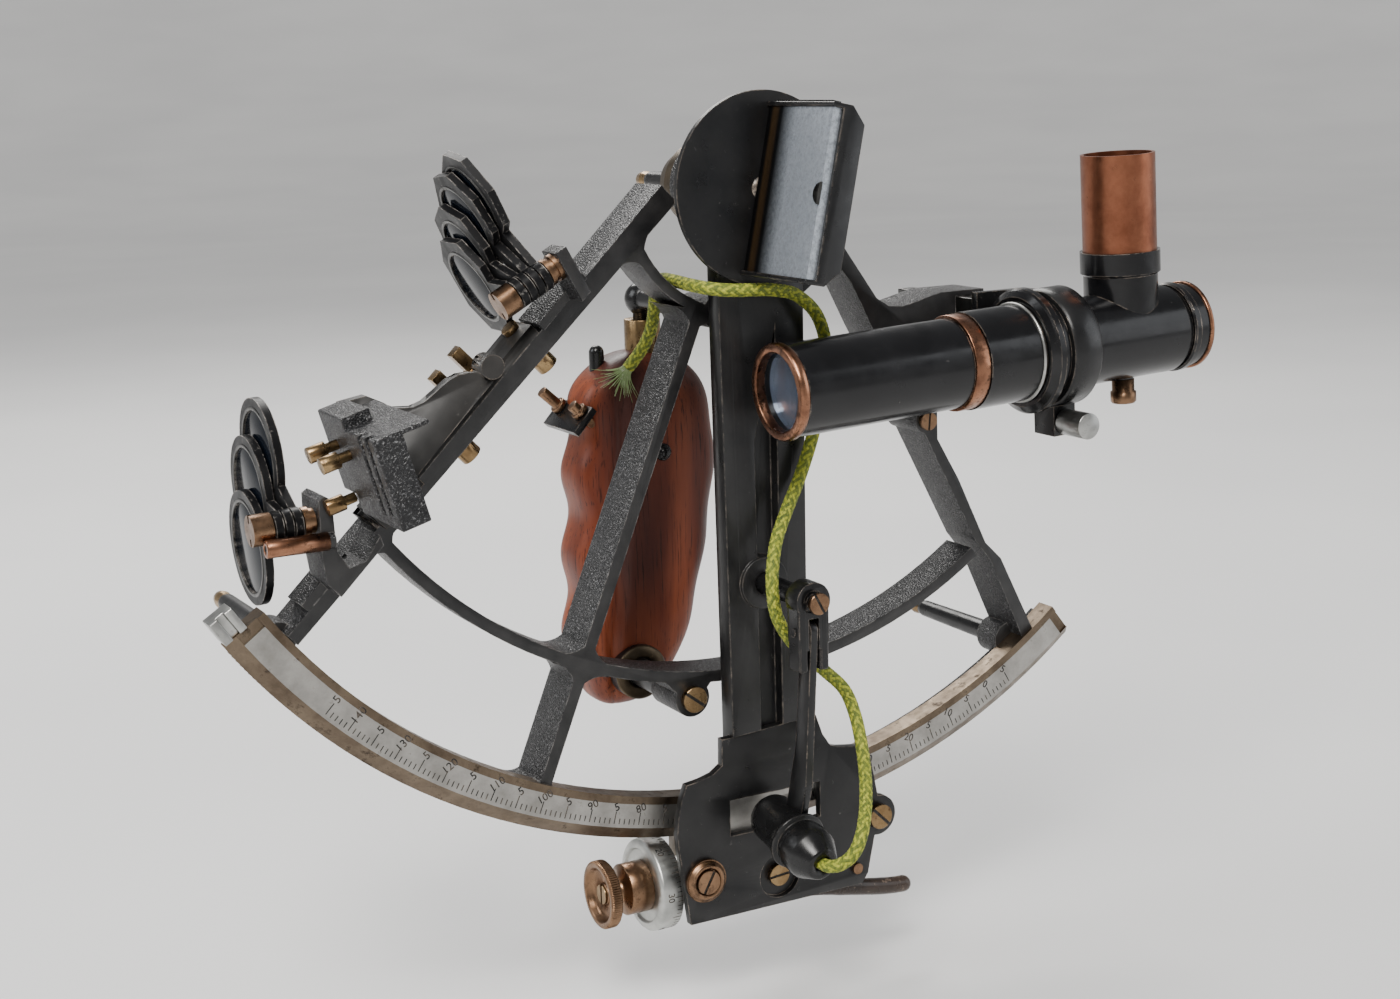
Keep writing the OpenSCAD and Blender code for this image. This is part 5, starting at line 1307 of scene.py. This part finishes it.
    def build(self) -> None:
        """Builds the cord, the housing and the link's fork, and eases the lamp's bracket."""
        cord, line = self.weave()
        yarn = self.fray(line)
        settle(cord, "index_arm", "cord_braid", "lamp_cord")
        settle(yarn, "index_arm", "cord_braid")
        settle(self.housing(), "lamp", "black_plastic", "lamp_housing")
        eased("lamp_link", "lamp_link", "black_metal", Finish.BLACK, 0.25)
        settle(self.fork(), "lamp_link", "black_metal")
        eased("lamp_arm", "lamp", "black_metal", Finish.BLACK, 0.2)
        eased("lamp_post", "index_arm", "black_metal", Finish.BLACK, 0.2)


@dataclass
class Studio:
    """Camera, soft lights and a pale floor."""

    eye: tuple[float, float, float] = (-284.2, -496.98, 32.69)
    right: tuple[float, float, float] = (0.87644, -0.48069, -0.02819)
    up: tuple[float, float, float] = (0.12174, 0.16456, 0.97883)
    ahead: tuple[float, float, float] = (0.46587, 0.86131, -0.20275)
    lens: float = 54.07
    floor_z: float = -0.232

    def camera(self) -> None:
        """Puts the camera where the photograph was taken from."""
        data = bpy.data.cameras.new("camera")
        data.lens, data.sensor_width = self.lens, 36.0
        data.clip_start, data.clip_end = 0.01, 50.0
        obj = show("camera", data)
        turn = Matrix((self.right, self.up, tuple(-v for v in self.ahead))).transposed().to_4x4()
        obj.matrix_world = Matrix.Translation(Vector(self.eye) * MM) @ turn
        bpy.context.scene.camera = obj

    def light(self, name: str, place: tuple, size: float, power: float, tint: Color) -> None:
        """One square soft light that looks at the instrument's middle."""
        data = bpy.data.lights.new(name, "AREA")
        data.energy, data.size, data.color = power, size, tint
        obj = show(name, data)
        obj.location = place
        aim = Vector((-0.02, 0.0, -0.09)) - Vector(place)
        obj.rotation_euler = aim.to_track_quat("-Z", "Y").to_euler()

    def build(self) -> None:
        """Builds the studio."""
        self.camera()
        sun = bpy.data.lights.new("sun", "SUN")
        sun.energy, sun.angle, sun.color = 1.5, 0.45, (1.0, 0.98, 0.95)
        holder = show("sun", sun)
        holder.rotation_euler = Vector((0.35, 0.45, -0.82)).to_track_quat("-Z", "Y").to_euler()
        self.light("key", (-0.75, -0.85, 0.95), 0.5, 16.0, (1.0, 0.97, 0.93))
        self.light("fill", (1.1, -0.7, 0.35), 0.9, 5.0, (0.93, 0.96, 1.0))
        self.light("rim", (0.25, 0.95, 0.85), 0.7, 15.0, (1.0, 0.98, 0.95))
        self.light("left", (-1.1, 0.35, 0.65), 0.7, 8.0, (0.95, 0.97, 1.0))
        world = bpy.data.worlds.new("world")
        bpy.context.scene.world = world
        world.use_nodes = True
        world.node_tree.nodes["Background"].inputs["Color"].default_value = (0.80, 0.81, 0.83, 1.0)
        world.node_tree.nodes["Background"].inputs["Strength"].default_value = 0.32
        radius = np.linspace(0.02, 9.0, 60)
        angle = circle(96)
        rise = 2.6 * np.clip((radius - 3.0) / 6.0, 0, 1) ** 2
        points = np.stack([radius[:, None] * np.cos(angle), radius[:, None] * np.sin(angle),
                           (self.floor_z + rise)[:, None] * np.ones(96)], -1).reshape(-1, 3)
        make_mesh("floor", points, tube_faces(60, 96)[:-1], Finish.FLOOR)


def main() -> None:
    """Builds the studio, dresses the CAD nodes and adds every piece."""
    logging.basicConfig(level=logging.INFO, format="%(name)s: %(message)s")
    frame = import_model()
    Studio().build()
    CadDress().dress(frame["nodes"])
    LampCord().build()
    for part in (Frame(), Grip(), Arm(), Screws(), Micrometer(), Shades(), Telescope()):
        part.build()
        log.info("built %s", type(part).__name__)


if __name__ == "__main__":
    main()
